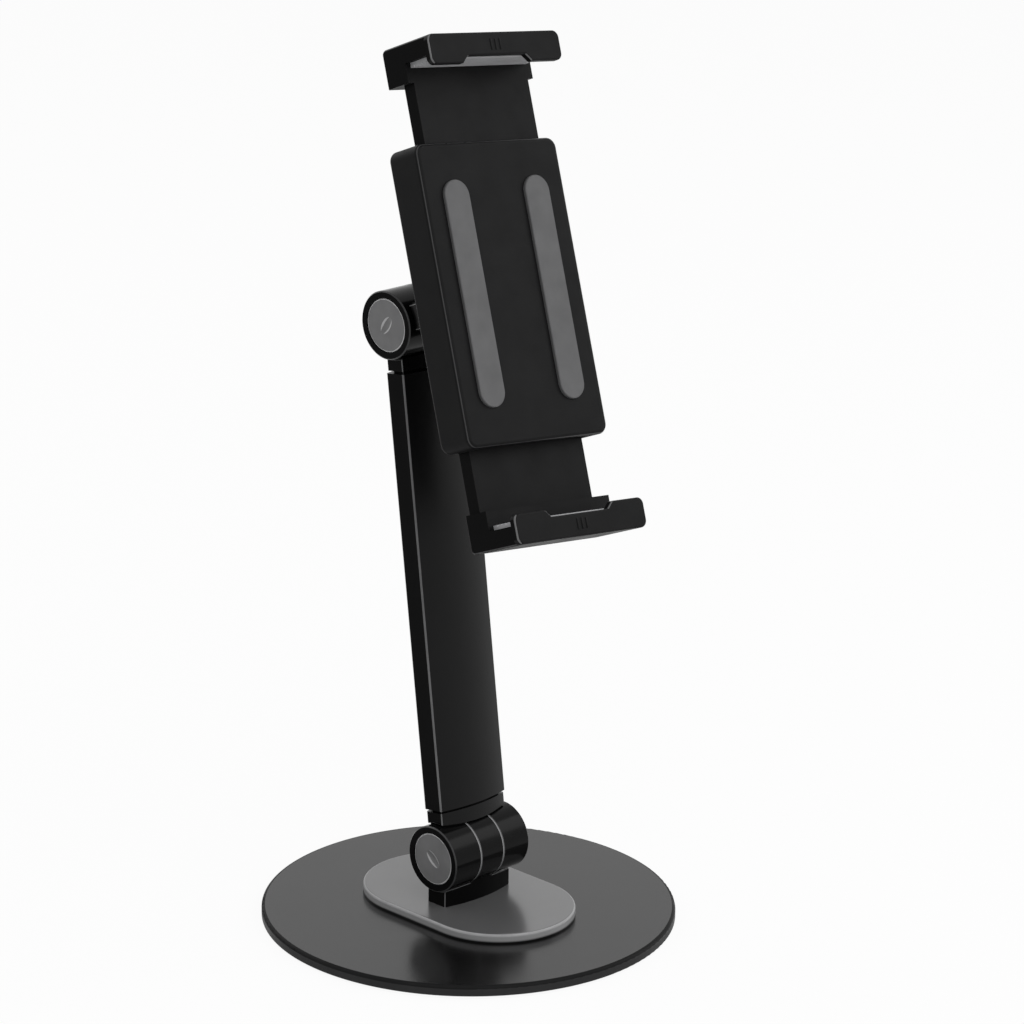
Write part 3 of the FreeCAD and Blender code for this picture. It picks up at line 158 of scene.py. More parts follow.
class HolderFinish(bpy.types.PropertyGroup):
    base_colour: bpy.props.FloatVectorProperty(
        name="Base colour", description="Powder coat of the round base",
        subtype="COLOR", size=3, min=0, max=1, default=(0.0045, 0.0045, 0.0046))
    # Painted shade: colour of the darker line on the base's upper rounding
    rounding_shade_colour: bpy.props.FloatVectorProperty(
        name="Base rounding colour", description="Upper rounding of the round base",
        subtype="COLOR", size=3, min=0, max=1, default=(0.0110, 0.0110, 0.0112))
    # Painted shade: colour of the duller copy of the coat on the base's upright side
    side_shade_colour: bpy.props.FloatVectorProperty(
        name="Base side colour", description="Matte upright side of the round base",
        subtype="COLOR", size=3, min=0, max=1, default=(0.028, 0.028, 0.0285))
    cover_colour: bpy.props.FloatVectorProperty(
        name="Cover colour", description="Satin grey of the plate on the base",
        subtype="COLOR", size=3, min=0, max=1, default=(0.138, 0.138, 0.140))
    # Painted highlight: the cut edge of the plate on the base is painted lighter than its top
    cover_edge_highlight_colour: bpy.props.FloatVectorProperty(
        name="Cover edge colour",
        description="The cut edge of the plate on the base, a little brighter",
        subtype="COLOR", size=3, min=0, max=1, default=(0.380, 0.381, 0.385))
    # Painted highlight on the upper rounding of the plate on the base
    cover_round_highlight_colour: bpy.props.FloatVectorProperty(
        name="Cover rounding colour", description="Upper rounding of the plate on the base",
        subtype="COLOR", size=3, min=0, max=1, default=(0.340, 0.340, 0.344))
    metal_colour: bpy.props.FloatVectorProperty(
        name="Arm colour", description="Black finish of the arm and its hinges",
        subtype="COLOR", size=3, min=0, max=1, default=(0.0026, 0.0026, 0.0027))
    # The barrels' deeper black, and painted shade on the foot block and on the sides of the arm
    # and jaws
    shade_colour: bpy.props.FloatVectorProperty(
        name="Shade colour",
        description="Deeper black of the barrels, the foot block, and the sides of arm and jaws",
        subtype="COLOR", size=3, min=0, max=1, default=(0.0024, 0.0024, 0.0025))
    # Painted highlight: the lighter colour of the small roundings and chamfers on the black parts
    edge_highlight_colour: bpy.props.FloatVectorProperty(
        name="Edge colour",
        description="The small roundings and chamfers, where the finish shines brighter",
        subtype="COLOR", size=3, min=0, max=1, default=(0.130, 0.130, 0.132))
    # Painted highlight: colour on the edges of the hinges' barrels and of the jaws, between black
    # and bright
    rim_highlight_colour: bpy.props.FloatVectorProperty(
        name="Rim colour",
        description="Edges of the hinges' barrels and the jaws' backs, between black and bright",
        subtype="COLOR", size=3, min=0, max=1, default=(0.040, 0.040, 0.041))
    # Painted highlight along the middle of the roundings of the clamp's housing
    soft_edge_highlight_colour: bpy.props.FloatVectorProperty(
        name="Soft edge colour", description="Middle of the roundings of the clamp's housing",
        subtype="COLOR", size=3, min=0, max=1, default=(0.034, 0.034, 0.035))
    # Painted highlight on the caps' rounded edge
    cap_edge_highlight_colour: bpy.props.FloatVectorProperty(
        name="Cap edge colour", description="Rounded edge of the caps",
        subtype="COLOR", size=3, min=0, max=1, default=(0.700, 0.700, 0.705))
    # Painted highlight on the wall of the dish in each cap
    dish_highlight_colour: bpy.props.FloatVectorProperty(
        name="Dish wall colour", description="Wall of the shallow dish in each cap",
        subtype="COLOR", size=3, min=0, max=1, default=(0.400, 0.400, 0.404))
    cap_colour: bpy.props.FloatVectorProperty(
        name="Cap colour", description="Grey of the round hinge caps",
        subtype="COLOR", size=3, min=0, max=1, default=(0.160, 0.160, 0.162))
    plastic_colour: bpy.props.FloatVectorProperty(
        name="Clamp colour", description="Black moulded plastic of the clamp and jaws",
        subtype="COLOR", size=3, min=0, max=1, default=(0.0050, 0.0050, 0.0052))
    lining_colour: bpy.props.FloatVectorProperty(
        name="Lining colour", description="Light grey rubber of the jaws' linings",
        subtype="COLOR", size=3, min=0, max=1, default=(0.40, 0.40, 0.41))
    pad_colour: bpy.props.FloatVectorProperty(
        name="Pad colour", description="Grey rubber of the two strips on the clamp's face",
        subtype="COLOR", size=3, min=0, max=1, default=(0.090, 0.090, 0.092))


class HolderGrip(bpy.types.PropertyGroup):
    bar_count: bpy.props.IntProperty(
        name="Bars", description="Raised bars on the middle of each lip", min=1, max=9, default=3)
    bar_length: bpy.props.FloatProperty(
        name="Bar length", description="Length of a bar across the lip",
        subtype="DISTANCE", unit="LENGTH", default=4.2 * MM)
    bar_width: bpy.props.FloatProperty(
        name="Bar width", description="Width of a bar",
        subtype="DISTANCE", unit="LENGTH", default=0.8 * MM)
    bar_pitch: bpy.props.FloatProperty(
        name="Bar pitch", description="Distance from bar to bar",
        subtype="DISTANCE", unit="LENGTH", default=2.2 * MM)
    bar_height: bpy.props.FloatProperty(
        name="Bar height", description="How far a bar stands out of the lip", subtype="DISTANCE",
        unit="LENGTH", default=0.25 * MM)


class HolderSpring(bpy.types.PropertyGroup):
    turns: bpy.props.IntProperty(
        name="Turns", description="Turns of wire in each spring", min=10, max=40, default=30)
    wire: bpy.props.FloatProperty(
        name="Wire", description="Thickness of the springs' wire",
        subtype="DISTANCE", unit="LENGTH", default=0.8 * MM)
    anchor_eye: bpy.props.FloatProperty(
        name="Anchor eye", description="Inner radius of the eye round the housing's post",
        subtype="DISTANCE", unit="LENGTH", default=1.5 * MM)
    pin_eye: bpy.props.FloatProperty(
        name="Pin eye", description="Inner radius of the eye round the jaw's pin",
        subtype="DISTANCE", unit="LENGTH", default=1.1 * MM)


class HolderStage(bpy.types.PropertyGroup):
    floor_radius: bpy.props.FloatProperty(
        name="Floor radius", description="Radius of the round floor",
        subtype="DISTANCE", unit="LENGTH", default=4.0)
    floor_colour: bpy.props.FloatVectorProperty(
        name="Floor colour", description="Pale floor", subtype="COLOR", size=3, min=0, max=1,
        default=(0.88, 0.88, 0.88))
    ambient: bpy.props.FloatProperty(
        name="Ambient", description="Strength of the light from all round",
        min=0, max=2, default=0.45)
    key_power: bpy.props.FloatProperty(
        name="Key light", description="Power of the large lamp above the front",
        subtype="POWER", unit="POWER", default=30.0)
    fill_power: bpy.props.FloatProperty(
        name="Fill light", description="Power of the lamp at the right",
        subtype="POWER", unit="POWER", default=9.0)
    rim_power: bpy.props.FloatProperty(
        name="Rim light", description="Power of the lamp behind the object",
        subtype="POWER", unit="POWER", default=6.0)


# Materials

# A fine relief: how often it repeats per metre, how high it is, and how much of that is used
Grain = namedtuple("Grain", "scale height strength detail", defaults=(2,))

PEBBLE = Grain(2600, 0.020 * MM, 0.35)
LACQUER = Grain(3200, 0.004 * MM, 0.2)
CUT_EDGE = Grain(3200, 0.010 * MM, 0.3)
BLASTED = Grain(4200, 0.006 * MM, 0.3)
TURNED = Grain(4200, 0.004 * MM, 0.2)
DRAWN_LINES = Grain(1600, 0.006 * MM, 0.3)
DRAWN = Grain(4200, 0.010 * MM, 0.3)
WASHER = Grain(2400, 0.010 * MM, 0.3)
CAP = Grain(3600, 0.010 * MM, 0.4)
ERODED = Grain(5200, 0.010 * MM, 0.4)
ERODED_CELLS = Grain(2300, 0.018 * MM, 0.5)
RUBBER = Grain(3000, 0.030 * MM, 0.4, detail=3)
MAT_CELLS = Grain(1400, 0.040 * MM, 0.5)
PLATED = Grain(2600, 0.010 * MM, 0.4)
MOULDED = Grain(2400, 0.020 * MM, 0.3)

# Heights above the grey plate's foot for the painted shadow line on its edge: black up to the
# first, fully grey from the second
SHADOW_LINE = (0.5 * MM, 1.3 * MM)

# The arm's drawn lines: how often they repeat per metre, and the share of that along the arm
LINE_SCALE = 900
LINE_SQUEEZE = 0.01

# Colours of the parts that have no setting
WASHER_COLOUR = (0.25, 0.25, 0.255)
MAT_COLOUR = (0.022, 0.022, 0.024)
ZINC_COLOUR = (0.56, 0.56, 0.57)
BLACK_OXIDE_COLOUR = (0.06, 0.06, 0.062)
NATURAL_COLOUR = (0.62, 0.60, 0.55)

# Nearly all of a noise texture's values lie between these two
PATTERN_LOW = 0.3
PATTERN_HIGH = 0.7


class Finish:
    """A node material built step by step on one Principled shader."""

    def __init__(self, name, ior=1.5, metallic=0.0):
        self.material = bpy.data.materials.new(name)
        self.material.use_nodes = True
        self.nodes = self.material.node_tree.nodes
        self.links = self.material.node_tree.links
        self.nodes.clear()
        output = self.nodes.new("ShaderNodeOutputMaterial")
        self.shader = self.nodes.new("ShaderNodeBsdfPrincipled")
        self.links.new(self.shader.outputs["BSDF"], output.inputs["Surface"])
        self.shader.inputs["Metallic"].default_value = metallic
        self.shader.inputs["IOR"].default_value = ior
        self.coordinates = self.nodes.new("ShaderNodeTexCoord").outputs["Object"]
        self.normal = None

    def along(self, turn, squeeze):
        """Object coordinates, turned, and squeezed along their new height."""
        mapping = self.nodes.new("ShaderNodeMapping")
        mapping.inputs["Rotation"].default_value = turn
        mapping.inputs["Scale"].default_value = (1, 1, squeeze)
        self.links.new(self.coordinates, mapping.inputs["Vector"])
        return mapping.outputs["Vector"]

    def noise(self, scale, detail=3, vector=None):
        texture = self.nodes.new("ShaderNodeTexNoise")
        texture.inputs["Scale"].default_value = scale
        texture.inputs["Detail"].default_value = detail
        self.links.new(vector or self.coordinates, texture.inputs["Vector"])
        return texture.outputs["Fac"]

    def cells(self, scale):
        texture = self.nodes.new("ShaderNodeTexVoronoi")
        texture.inputs["Scale"].default_value = scale
        self.links.new(self.coordinates, texture.inputs["Vector"])
        return texture.outputs["Distance"]

    def ranged(self, value, low, high, from_low=PATTERN_LOW, from_high=PATTERN_HIGH):
        node = self.nodes.new("ShaderNodeMapRange")
        node.inputs["From Min"].default_value = from_low
        node.inputs["From Max"].default_value = from_high
        node.inputs["To Min"].default_value = low
        node.inputs["To Max"].default_value = high
        self.links.new(value, node.inputs["Value"])
        return node.outputs["Result"]

    def ramp(self, value, first, last):
        """Base colour from one colour to another; gives the ramp's two stops."""
        node = self.nodes.new("ShaderNodeValToRGB")
        stops = node.color_ramp.elements
        stops[0].color = (*first, 1)
        stops[1].color = (*last, 1)
        self.links.new(value, node.inputs["Fac"])
        self.links.new(node.outputs["Color"], self.shader.inputs["Base Color"])
        return stops

    def tint(self, value, colour, spread):
        """The colour made darker and lighter by a share on either side, following a pattern."""
        darker = [part * (1 - spread) for part in colour]
        lighter = [min(1, part * (1 + spread)) for part in colour]
        stops = self.ramp(value, darker, lighter)
        stops[0].position = PATTERN_LOW
        stops[1].position = PATTERN_HIGH

    def rising_tint(self, colour, low, high):
        """Black up to one height, and the full colour from another."""
        apart = self.nodes.new("ShaderNodeSeparateXYZ")
        self.links.new(self.coordinates, apart.inputs["Vector"])
        self.ramp(self.ranged(apart.outputs["Z"], 0, 1, low, high), (0, 0, 0), colour)

    def rough(self, value, low, high):
        roughness = self.shader.inputs["Roughness"]
        roughness.default_value = (low + high) / 2
        self.links.new(self.ranged(value, low, high), roughness)

    def bump(self, value, grain):
        """A relief, added to any that is there."""
        node = self.nodes.new("ShaderNodeBump")
        node.inputs["Strength"].default_value = grain.strength
        node.inputs["Distance"].default_value = grain.height
        self.links.new(value, node.inputs["Height"])
        if self.normal is not None:
            self.links.new(self.normal, node.inputs["Normal"])
        self.normal = node.outputs["Normal"]
        self.links.new(self.normal, self.shader.inputs["Normal"])


def surface(name, colour, rough, clouds=120, detail=4, spread=0.15, gloss=150, cells=None,
            grain=BLASTED, **shader):
    """A finish with soft clouds in its colour and gloss, over its cells and its grain."""
    finish = Finish(name, **shader)
    finish.tint(finish.noise(clouds, detail), colour, spread)
    finish.rough(finish.noise(gloss), *rough)
    if cells:
        finish.bump(finish.cells(cells.scale), cells)
    if grain:
        finish.bump(finish.noise(grain.scale, grain.detail), grain)
    return finish.material


def settings():
    return bpy.context.scene.holder_finish


def coat(name, colour, rough, ior):
    """Black powder coat with the fine pebble of baked paint."""
    return surface(name, colour, rough, clouds=60, spread=0.10, gloss=90, grain=PEBBLE, ior=ior)


def powder_coat():
    """The satin coat on the base's top and underside."""
    return coat("powder_coat", settings().base_colour, (0.19, 0.23), ior=1.41)


def coat_rounding():
    """Painted shade: the coat on the base's upper rounding, with its own colour and less shine, so
    that it reads as a dark line between the top and the side.
    """
    return coat("coat_rounding", settings().rounding_shade_colour, (0.36, 0.44), ior=1.12)


def coat_side():
    """Painted shade on the base's upright side: a copy of the coat with its own lighter colour,
    rougher and with less shine.
    """
    return coat("coat_side", settings().side_shade_colour, (0.40, 0.50), ior=1.15)


def satin_grey():
    """Smooth grey lacquer of the plate on the base."""
    return surface("satin_grey", settings().cover_colour, (0.20, 0.24), clouds=60, detail=3,
                   spread=0.03, gloss=90, grain=LACQUER, metallic=0.3, ior=1.72)


def satin_edge():
    """The cut edge of the same plate: a painted highlight, lighter than the top, and a painted
    shadow line, black where it meets the base.
    """
    finish = Finish("satin_edge", metallic=0.3, ior=1.30)
    foot = min(point.z for point in points("base_cover"))
    low, high = SHADOW_LINE
    finish.rising_tint(settings().cover_edge_highlight_colour, foot + low, foot + high)
    finish.rough(finish.noise(120), 0.30, 0.38)
    finish.bump(finish.noise(CUT_EDGE.scale, CUT_EDGE.detail), CUT_EDGE)
    return finish.material


def anodised_black():
    """Blasted and anodised aluminium: near black, with a soft sheen."""
    return surface("anodised_black", settings().metal_colour, (0.22, 0.26), ior=1.24)


def barrel_black():
    """The same aluminium where it is turned: smoother and deeper, for the hinges' barrels."""
    return surface("barrel_black", settings().shade_colour, (0.12, 0.17), grain=TURNED, ior=1.19)


def shaded_black():
    """Painted shade: a deeper and flatter black for side faces, the barrels' ends and the foot
    block.
    """
    return surface("shaded_black", settings().shade_colour, (0.38, 0.46), ior=1.10)


def drawn_black(turn):
    """The same finish on the extruded arm, with faint lines along its length."""
    finish = Finish("drawn_black", ior=1.24)
    finish.tint(finish.noise(120, 4), settings().metal_colour, 0.15)
    lines = finish.along(turn, LINE_SQUEEZE)
    finish.rough(finish.noise(LINE_SCALE, vector=lines), 0.31, 0.37)
    finish.bump(finish.noise(DRAWN_LINES.scale, DRAWN_LINES.detail, lines), DRAWN_LINES)
    finish.bump(finish.noise(DRAWN.scale, DRAWN.detail), DRAWN)
    return finish.material


def painted_highlight(name, colour):
    """Painted highlight: a lighter colour put on an edge, rounding or wall, so that it reads as a
    fine bright line.
    """
    return surface(name, colour, (0.26, 0.34), clouds=160, spread=0.12, gloss=240, ior=1.30)


def washer_grey():
    """Grey sliding washers whose rims show in the hinges' seams."""
    return surface("washer_grey", WASHER_COLOUR, (0.40, 0.50), clouds=200, spread=0.08,
                   gloss=260, grain=WASHER, ior=1.35)


def cap_grey():
    """Satin grey of the hinge caps."""
    return surface("cap_grey", settings().cap_colour, (0.36, 0.44), clouds=150, spread=0.08,
                   gloss=220, grain=CAP, ior=1.30)


def moulded_black():
    """Black plastic from a mould with a fine spark-eroded grain."""
    return surface("moulded_black", settings().plastic_colour, (0.44, 0.54), clouds=70,
                   spread=0.12, gloss=110, cells=ERODED_CELLS, grain=ERODED, ior=1.17)


def moulded_shade():
    """Painted shade: the same plastic, flatter and deeper, on the jaws' flat ends."""
    return surface("moulded_shade", settings().shade_colour, (0.38, 0.46), clouds=70, spread=0.12,
                   gloss=110, grain=ERODED, ior=1.10)


def rubber_grey(name, colour, spread, ior):
    """Grey silicone rubber, matte and slightly cloudy."""
    return surface(name, colour, (0.55, 0.70), clouds=90, detail=5, spread=spread, gloss=160,
                   grain=RUBBER, ior=ior)


def mat_rubber():
    """Dark plain rubber under the base, dusty and matte."""
    return surface("mat_rubber", MAT_COLOUR, (0.72, 0.88), clouds=70, detail=5, spread=0.2,
                   gloss=130, cells=MAT_CELLS, grain=None, ior=1.45)


def steel(name, colour, rough, spread, metallic):
    """Machined steel under a thin layer, as on bought screws."""
    return surface(name, colour, rough, clouds=300, spread=spread, gloss=500, grain=PLATED,
                   metallic=metallic)


def turned_steel():
    """Bright zinc-plated steel of the screws, bolts, washers and springs."""
    return steel("turned_steel", ZINC_COLOUR, (0.24, 0.38), spread=0.12, metallic=1.0)


def black_screw():
    """Black-oxide steel of the screws that show at the back."""
    return steel("black_screw", BLACK_OXIDE_COLOUR, (0.28, 0.42), spread=0.2, metallic=0.8)


def natural_plastic():
    """Off-white slippery plastic of the sliding rings and the pinion."""
    return surface("natural_plastic", NATURAL_COLOUR, (0.42, 0.55), clouds=200, spread=0.05,
                   gloss=260, grain=MOULDED, ior=1.5)


def shine_edges(name, material, test):
    """Gives a finish of its own to each face of a node whose centre and normal pass a test."""
    data = frame["nodes"][name].data
    data.materials.append(material)
    number = len(data.materials) - 1
    for face in data.polygons:
        if test(face.center, face.normal):
            face.material_index = number


def axis_radius(name, axis):
    """Radius of a fork's outer knuckles, from its vertices at the very end along X."""
    half = max(point.x for point in points(name))
    return max((point - axis).yz.length for point in points(name) if point.x > half - BARREL_END)


def on_corner(place, normal):
    """Whether a face belongs to a rounding or chamfer between a side and the front or back."""
    return ARM_FRONT < abs(normal.x) < ARM_SIDE


def dress(names, material):
    """Gives every named node one material over all its faces."""
    for name in names:
        data = frame["nodes"][name].data
        data.materials.clear()
        data.materials.append(material)
        for face in data.polygons:
            face.material_index = 0


# Operators

class HOLDER_OT_finish_base(bpy.types.Operator):
    """Finish the round base, the grey plate and what is under them"""
    bl_idname = "holder.finish_base"
    bl_label = "Finish the base"

    def execute(self, context):
        dress(["base_plate"], powder_coat())
        inside = BASE_EDGE_SHARE * max(point.x for point in points("base_plate"))
        # Painted shade on the base's upper rounding
        shine_edges("base_plate", coat_rounding(), lambda place, normal:
                    BASE_SIDE < normal.z < BASE_TOP and place.xy.length > inside)
        # Painted shade on the base's upright side
        shine_edges("base_plate", coat_side(), lambda place, normal:
                    abs(normal.z) <= BASE_SIDE and place.xy.length > inside)
        dress(["base_cover"], satin_grey())
        # Painted highlight on the grey plate's cut edge, with a painted shadow line at its foot
        shine_edges("base_cover", satin_edge(), lambda place, normal:
                    COVER_UNDERSIDE < normal.z < COVER_SIDE)
        # Painted highlight on the grey plate's upper rounding
        cover_round = painted_highlight("cover_round", settings().cover_round_highlight_colour)
        shine_edges("base_cover", cover_round, lambda place, normal:
                    COVER_SIDE <= normal.z < COVER_TOP)
        dress(["anti_slip_mat"], mat_rubber())
        return {"FINISHED"}


class HOLDER_OT_finish_arm(bpy.types.Operator):
    """Finish the arm, both hinges and their caps"""
    bl_idname = "holder.finish_arm"
    bl_label = "Finish the arm"

    def execute(self, context):
        lower = Vector(joint("base_hinge")["pos_m"])
        upper = Vector(joint("head_hinge")["pos_m"])
        lean = math.atan2(upper.y - lower.y, upper.z - lower.z)
        dress(["arm_tube"], drawn_black((lean, 0, 0)))
        black = anodised_black()
        dress(["base_knuckle", "lower_fork", "upper_fork", "head_knuckle", "swivel_flange"], black)
        # Painted highlight on the corners of the arm, the knuckles and the forks
        bright = painted_highlight("bright_edge", settings().edge_highlight_colour)
        for name in ("arm_tube", "base_knuckle", "head_knuckle", "lower_fork", "upper_fork"):
            shine_edges(name, bright, on_corner)
        # Painted shade on the flat sides of the arm and the forks
        painted_shade = shaded_black()
        for name in ("arm_tube", "lower_fork", "upper_fork"):
            shine_edges(name, painted_shade, lambda place, normal: abs(normal.x) > ARM_SIDE)
        self.finish_barrels((lower, upper), painted_shade)
        self.finish_foot(lower, bright, painted_shade)
        caps = [end + side for end in ("lower_", "upper_") for side in ("left_cap", "right_cap")]
        dress(caps, cap_grey())
        self.finish_caps(caps, lower, upper)
        return {"FINISHED"}

    def finish_caps(self, caps, lower, upper):
        """Painted highlights on the caps' rounded outer edge and on the wall of the dish in their
        middle.
        """
        cap_edge = painted_highlight("cap_edge", settings().cap_edge_highlight_colour)
        dish = painted_highlight("cap_dish", settings().dish_highlight_colour)
        for name in caps:
            axis = lower if name.startswith("lower_") else upper
            inside = max((point - axis).yz.length for point in points(name)) - CAP_EDGE_WIDTH
            shine_edges(name, dish, lambda place, normal: abs(normal.x) < DISH_FLOOR)
            shine_edges(name, cap_edge, lambda place, normal:
                        abs(normal.x) < CAP_FACE and (place - axis).yz.length > inside)

    def finish_barrels(self, axes, painted_shade):
        """The turned faces of the barrels, painted shade on their flat ends, and a painted
        highlight on their broken edges.
        """
        turned = barrel_black()
        barrels = (("lower_fork", "base_knuckle"), ("upper_fork", "head_knuckle"))
        for axis, names in zip(axes, barrels):
            radius = axis_radius(names[0], axis)

            def on_barrel(place, normal):
                out = (place - axis).yz
                on_skin = -BARREL_SPARE < radius - out.length < BARREL_GROOVE
                along_radius = out.normalized().dot(normal.yz) > BARREL_ROUND
                return on_skin and along_radius and abs(normal.x) < ARM_FRONT

            for name in names:
                shine_edges(name, turned, on_barrel)
        # Painted highlight on the barrels' broken outer edges
        rim = painted_highlight("barrel_rim", settings().rim_highlight_colour)
        half = max(point.x for point in points("lower_fork"))
        for name in ("lower_fork", "upper_fork"):
            shine_edges(name, rim, lambda place, normal:
                        on_corner(place, normal) and abs(place.x) > half - BARREL_RIM_WIDTH)
            # Painted shade on the barrels' flat ends
            shine_edges(name, painted_shade, lambda place, normal:
                        abs(normal.x) > ARM_SIDE and abs(place.x) > half - BARREL_END_DEPTH)

    def finish_foot(self, axis, bright, painted_shade):
        """The foot block below the lower barrel: painted shade on its faces under the barrel, and
        a painted highlight on its upper edge.
        """
        radius = axis.z - min(point.z for point in points("lower_fork"))

        def below(place):
            return place.z < axis.z and (place - axis).yz.length > radius + FOOT_GAP

        # Painted shade where the foot block lies under the barrel, and a painted highlight on its
        # upper edge
        shine_edges("base_knuckle", painted_shade, lambda place, normal:
                    below(place) and abs(normal.z) < FOOT_SIDE and not on_corner(place, normal))
        shine_edges("base_knuckle", bright, lambda place, normal:
                    below(place) and FOOT_EDGE[0] < normal.z < FOOT_EDGE[1])


class HOLDER_OT_finish_clamp(bpy.types.Operator):
    """Finish the clamp's housing, jaws, linings and pads"""
    bl_idname = "holder.finish_clamp"
    bl_label = "Finish the clamp"

    def execute(self, context):
        dress(["clamp_back_shell", "clamp_front_cover", "upper_jaw", "lower_jaw"], moulded_black())
        linings = rubber_grey("soft_grey", settings().lining_colour, spread=0.07, ior=1.42)
        dress(["upper_jaw_lining", "lower_jaw_lining"], linings)
        pads = rubber_grey("pad_grey", settings().pad_colour, spread=0.10, ior=1.40)
        dress(["device_pads"], pads)
        origin, across, up, out = clamp_axes()
        # Painted highlights on the lips' rims and on the jaws' long outer edges
        bright = bpy.data.materials["bright_edge"]
        painted_shade = moulded_shade()
        outer_highlight = painted_highlight("jaw_edge", settings().rim_highlight_colour)
        for jaw in JAWS:
            front, _, sign = lip_place(jaw)
            # Painted shade on the jaws' flat ends
            shine_edges(jaw, painted_shade, lambda place, normal: abs(normal.dot(across)) > JAW_END)

            def long_edge(place, normal):
                behind_lip = (place - origin).dot(out) < front - LIP_THICKNESS
                outward = sign * normal.dot(up) > JAW_OUTWARD
                return behind_lip and outward and LIP_END < abs(normal.dot(across)) < JAW_END

            def rim(place, normal):
                at_front = (place - origin).dot(out) > front - LIP_DEPTH
                on_edge = LIP_EDGE[0] < normal.dot(out) < LIP_EDGE[1]
                return at_front and on_edge and abs(normal.dot(across)) > LIP_END

            # Painted highlight on each lip's rim and on its jaw's long outer edge
            shine_edges(jaw, bright, rim)
            shine_edges(jaw, outer_highlight, long_edge)
        self.finish_housing(out)
        return {"FINISHED"}

    def finish_housing(self, out):
        """A painted highlight along the middle of the housing's roundings, front and back."""
        soft = painted_highlight("soft_edge", settings().soft_edge_highlight_colour)
        shine_edges("clamp_front_cover", soft, lambda place, normal:
                    HOUSING_EDGE[0] < normal.dot(out) < HOUSING_EDGE[1])
        back = min(point.dot(out) for point in points("clamp_front_cover")) - SHELL_BACK_DEPTH
        shine_edges("clamp_back_shell", soft, lambda place, normal:
                    HOUSING_EDGE[0] < -normal.dot(out) < HOUSING_EDGE[1] and place.dot(out) > back)


class HOLDER_OT_finish_hardware(bpy.types.Operator):
    """Finish the bolts, screws, washers, springs and the pinion"""
    bl_idname = "holder.finish_hardware"
    bl_label = "Finish the hardware"

    def execute(self, context):
        dress(["swivel_ring", "pinion"], natural_plastic())
        dress(["lower_friction_washers", "upper_friction_washers"], washer_grey())
        dress(["fork_screws", "cover_fixing_screws"], black_screw())
        bright = turned_steel()
        dress(["knuckle_screws", "cover_screws", "flange_screws"], bright)
        dress(["swivel_bolt", "swivel_washer", "swivel_nut", "pinion_pin", "pin_plate"], bright)
        for end in ("lower_", "upper_"):
            dress([end + "hinge_bolt", end + "hinge_nut", end + "spring_washers"], bright)
            dress([end + "spring", end + "spring_pin"], bright)
        return {"FINISHED"}


def lip_place(jaw):
    """How far a jaw's lip stands out, how far its outer edge is from the middle, and which way."""
    origin, _, up, normal = clamp_axes()
    sign = 1 if jaw == "upper_jaw" else -1
    front = max((point - origin).dot(normal) for point in points(jaw))
    outer = max(sign * (point - origin).dot(up) for point in points(jaw))
    return front, outer, sign


def join_pieces(pieces, name, material):
    """Makes the first piece hold all the others, with one name and one material."""
    bpy.ops.object.select_all(action="DESELECT")
    for piece in pieces:
        piece.select_set(True)
    bpy.context.view_layer.objects.active = pieces[0]
    bpy.ops.object.join()
    pieces[0].name = name
    bpy.ops.object.shade_smooth_by_angle(angle=SMOOTH_ANGLE)
    pieces[0].data.materials.clear()
    pieces[0].data.materials.append(bpy.data.materials[material])
    return pieces[0]


def add_bar(place, grip):
    """One raised bar with rounded edges, at a place in the clamp's own directions."""
    bpy.ops.object.select_all(action="DESELECT")
    bpy.ops.mesh.primitive_cube_add(size=1.0, location=(0, 0, 0))
    bar = bpy.context.active_object
    bar.scale = (grip.bar_width, grip.bar_length, grip.bar_height * 2)
    bpy.ops.object.transform_apply(location=False, rotation=False, scale=True)
    bevel = bar.modifiers.new("edges", "BEVEL")
    bevel.width = grip.bar_width * GRIP_BEVEL_SHARE
    bevel.segments = GRIP_BEVEL_STEPS
    bpy.ops.object.modifier_apply(modifier="edges")
    bar.data.transform(clamp_matrix() @ Matrix.Translation(place))
    return bar


class HOLDER_OT_lip_grips(bpy.types.Operator):
    """Add the short raised bars on the middle of both lips"""
    bl_idname = "holder.lip_grips"
    bl_label = "Add the lip grips"

    def execute(self, context):
        grip = context.scene.holder_grip
        for jaw in JAWS:
            front, outer, sign = lip_place(jaw)
            middle = sign * (outer - GRIP_FROM_EDGE)
            bars = []
            for number in range(grip.bar_count):
                across = (number - (grip.bar_count - 1) / 2) * grip.bar_pitch
                bars.append(add_bar((across, middle, front), grip))
            grips = join_pieces(bars, jaw + "_grips", "moulded_black")
            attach(grips, jaw)
        return {"FINISHED"}


def clamp_span(name):
    """Lowest and highest corner of a node in the clamp's own directions."""
    turn = clamp_matrix().inverted()
    columns = list(zip(*(turn @ point for point in points(name))))
    return Vector([min(column) for column in columns]), Vector([max(column) for column in columns])


def add_coil(radius, wire, turns, start, end):
    """Turns of round wire along Y from one place to another, closed at both ends."""
    bpy.ops.object.select_all(action="DESELECT")
    bpy.ops.mesh.primitive_circle_add(vertices=WIRE_SIDES, radius=wire / 2, location=(0, 0, 0))
    coil = bpy.context.active_object
    bpy.ops.object.mode_set(mode="EDIT")
    bpy.ops.transform.translate(value=(radius - wire / 2, start, 0))
    bpy.ops.object.mode_set(mode="OBJECT")
    screw = coil.modifiers.new("turns", "SCREW")
    screw.axis = "Y"
    screw.screw_offset = (end - start) / turns
    screw.iterations = turns
    screw.steps = TURN_STEPS
    screw.render_steps = TURN_STEPS
    bpy.ops.object.modifier_apply(modifier="turns")
    bpy.ops.object.mode_set(mode="EDIT")
    bpy.ops.mesh.select_all(action="SELECT")
    bpy.ops.mesh.fill_holes(sides=WIRE_SIDES)
    bpy.ops.mesh.select_all(action="SELECT")
    bpy.ops.mesh.normals_make_consistent(inside=False)
    bpy.ops.object.mode_set(mode="OBJECT")
    return coil


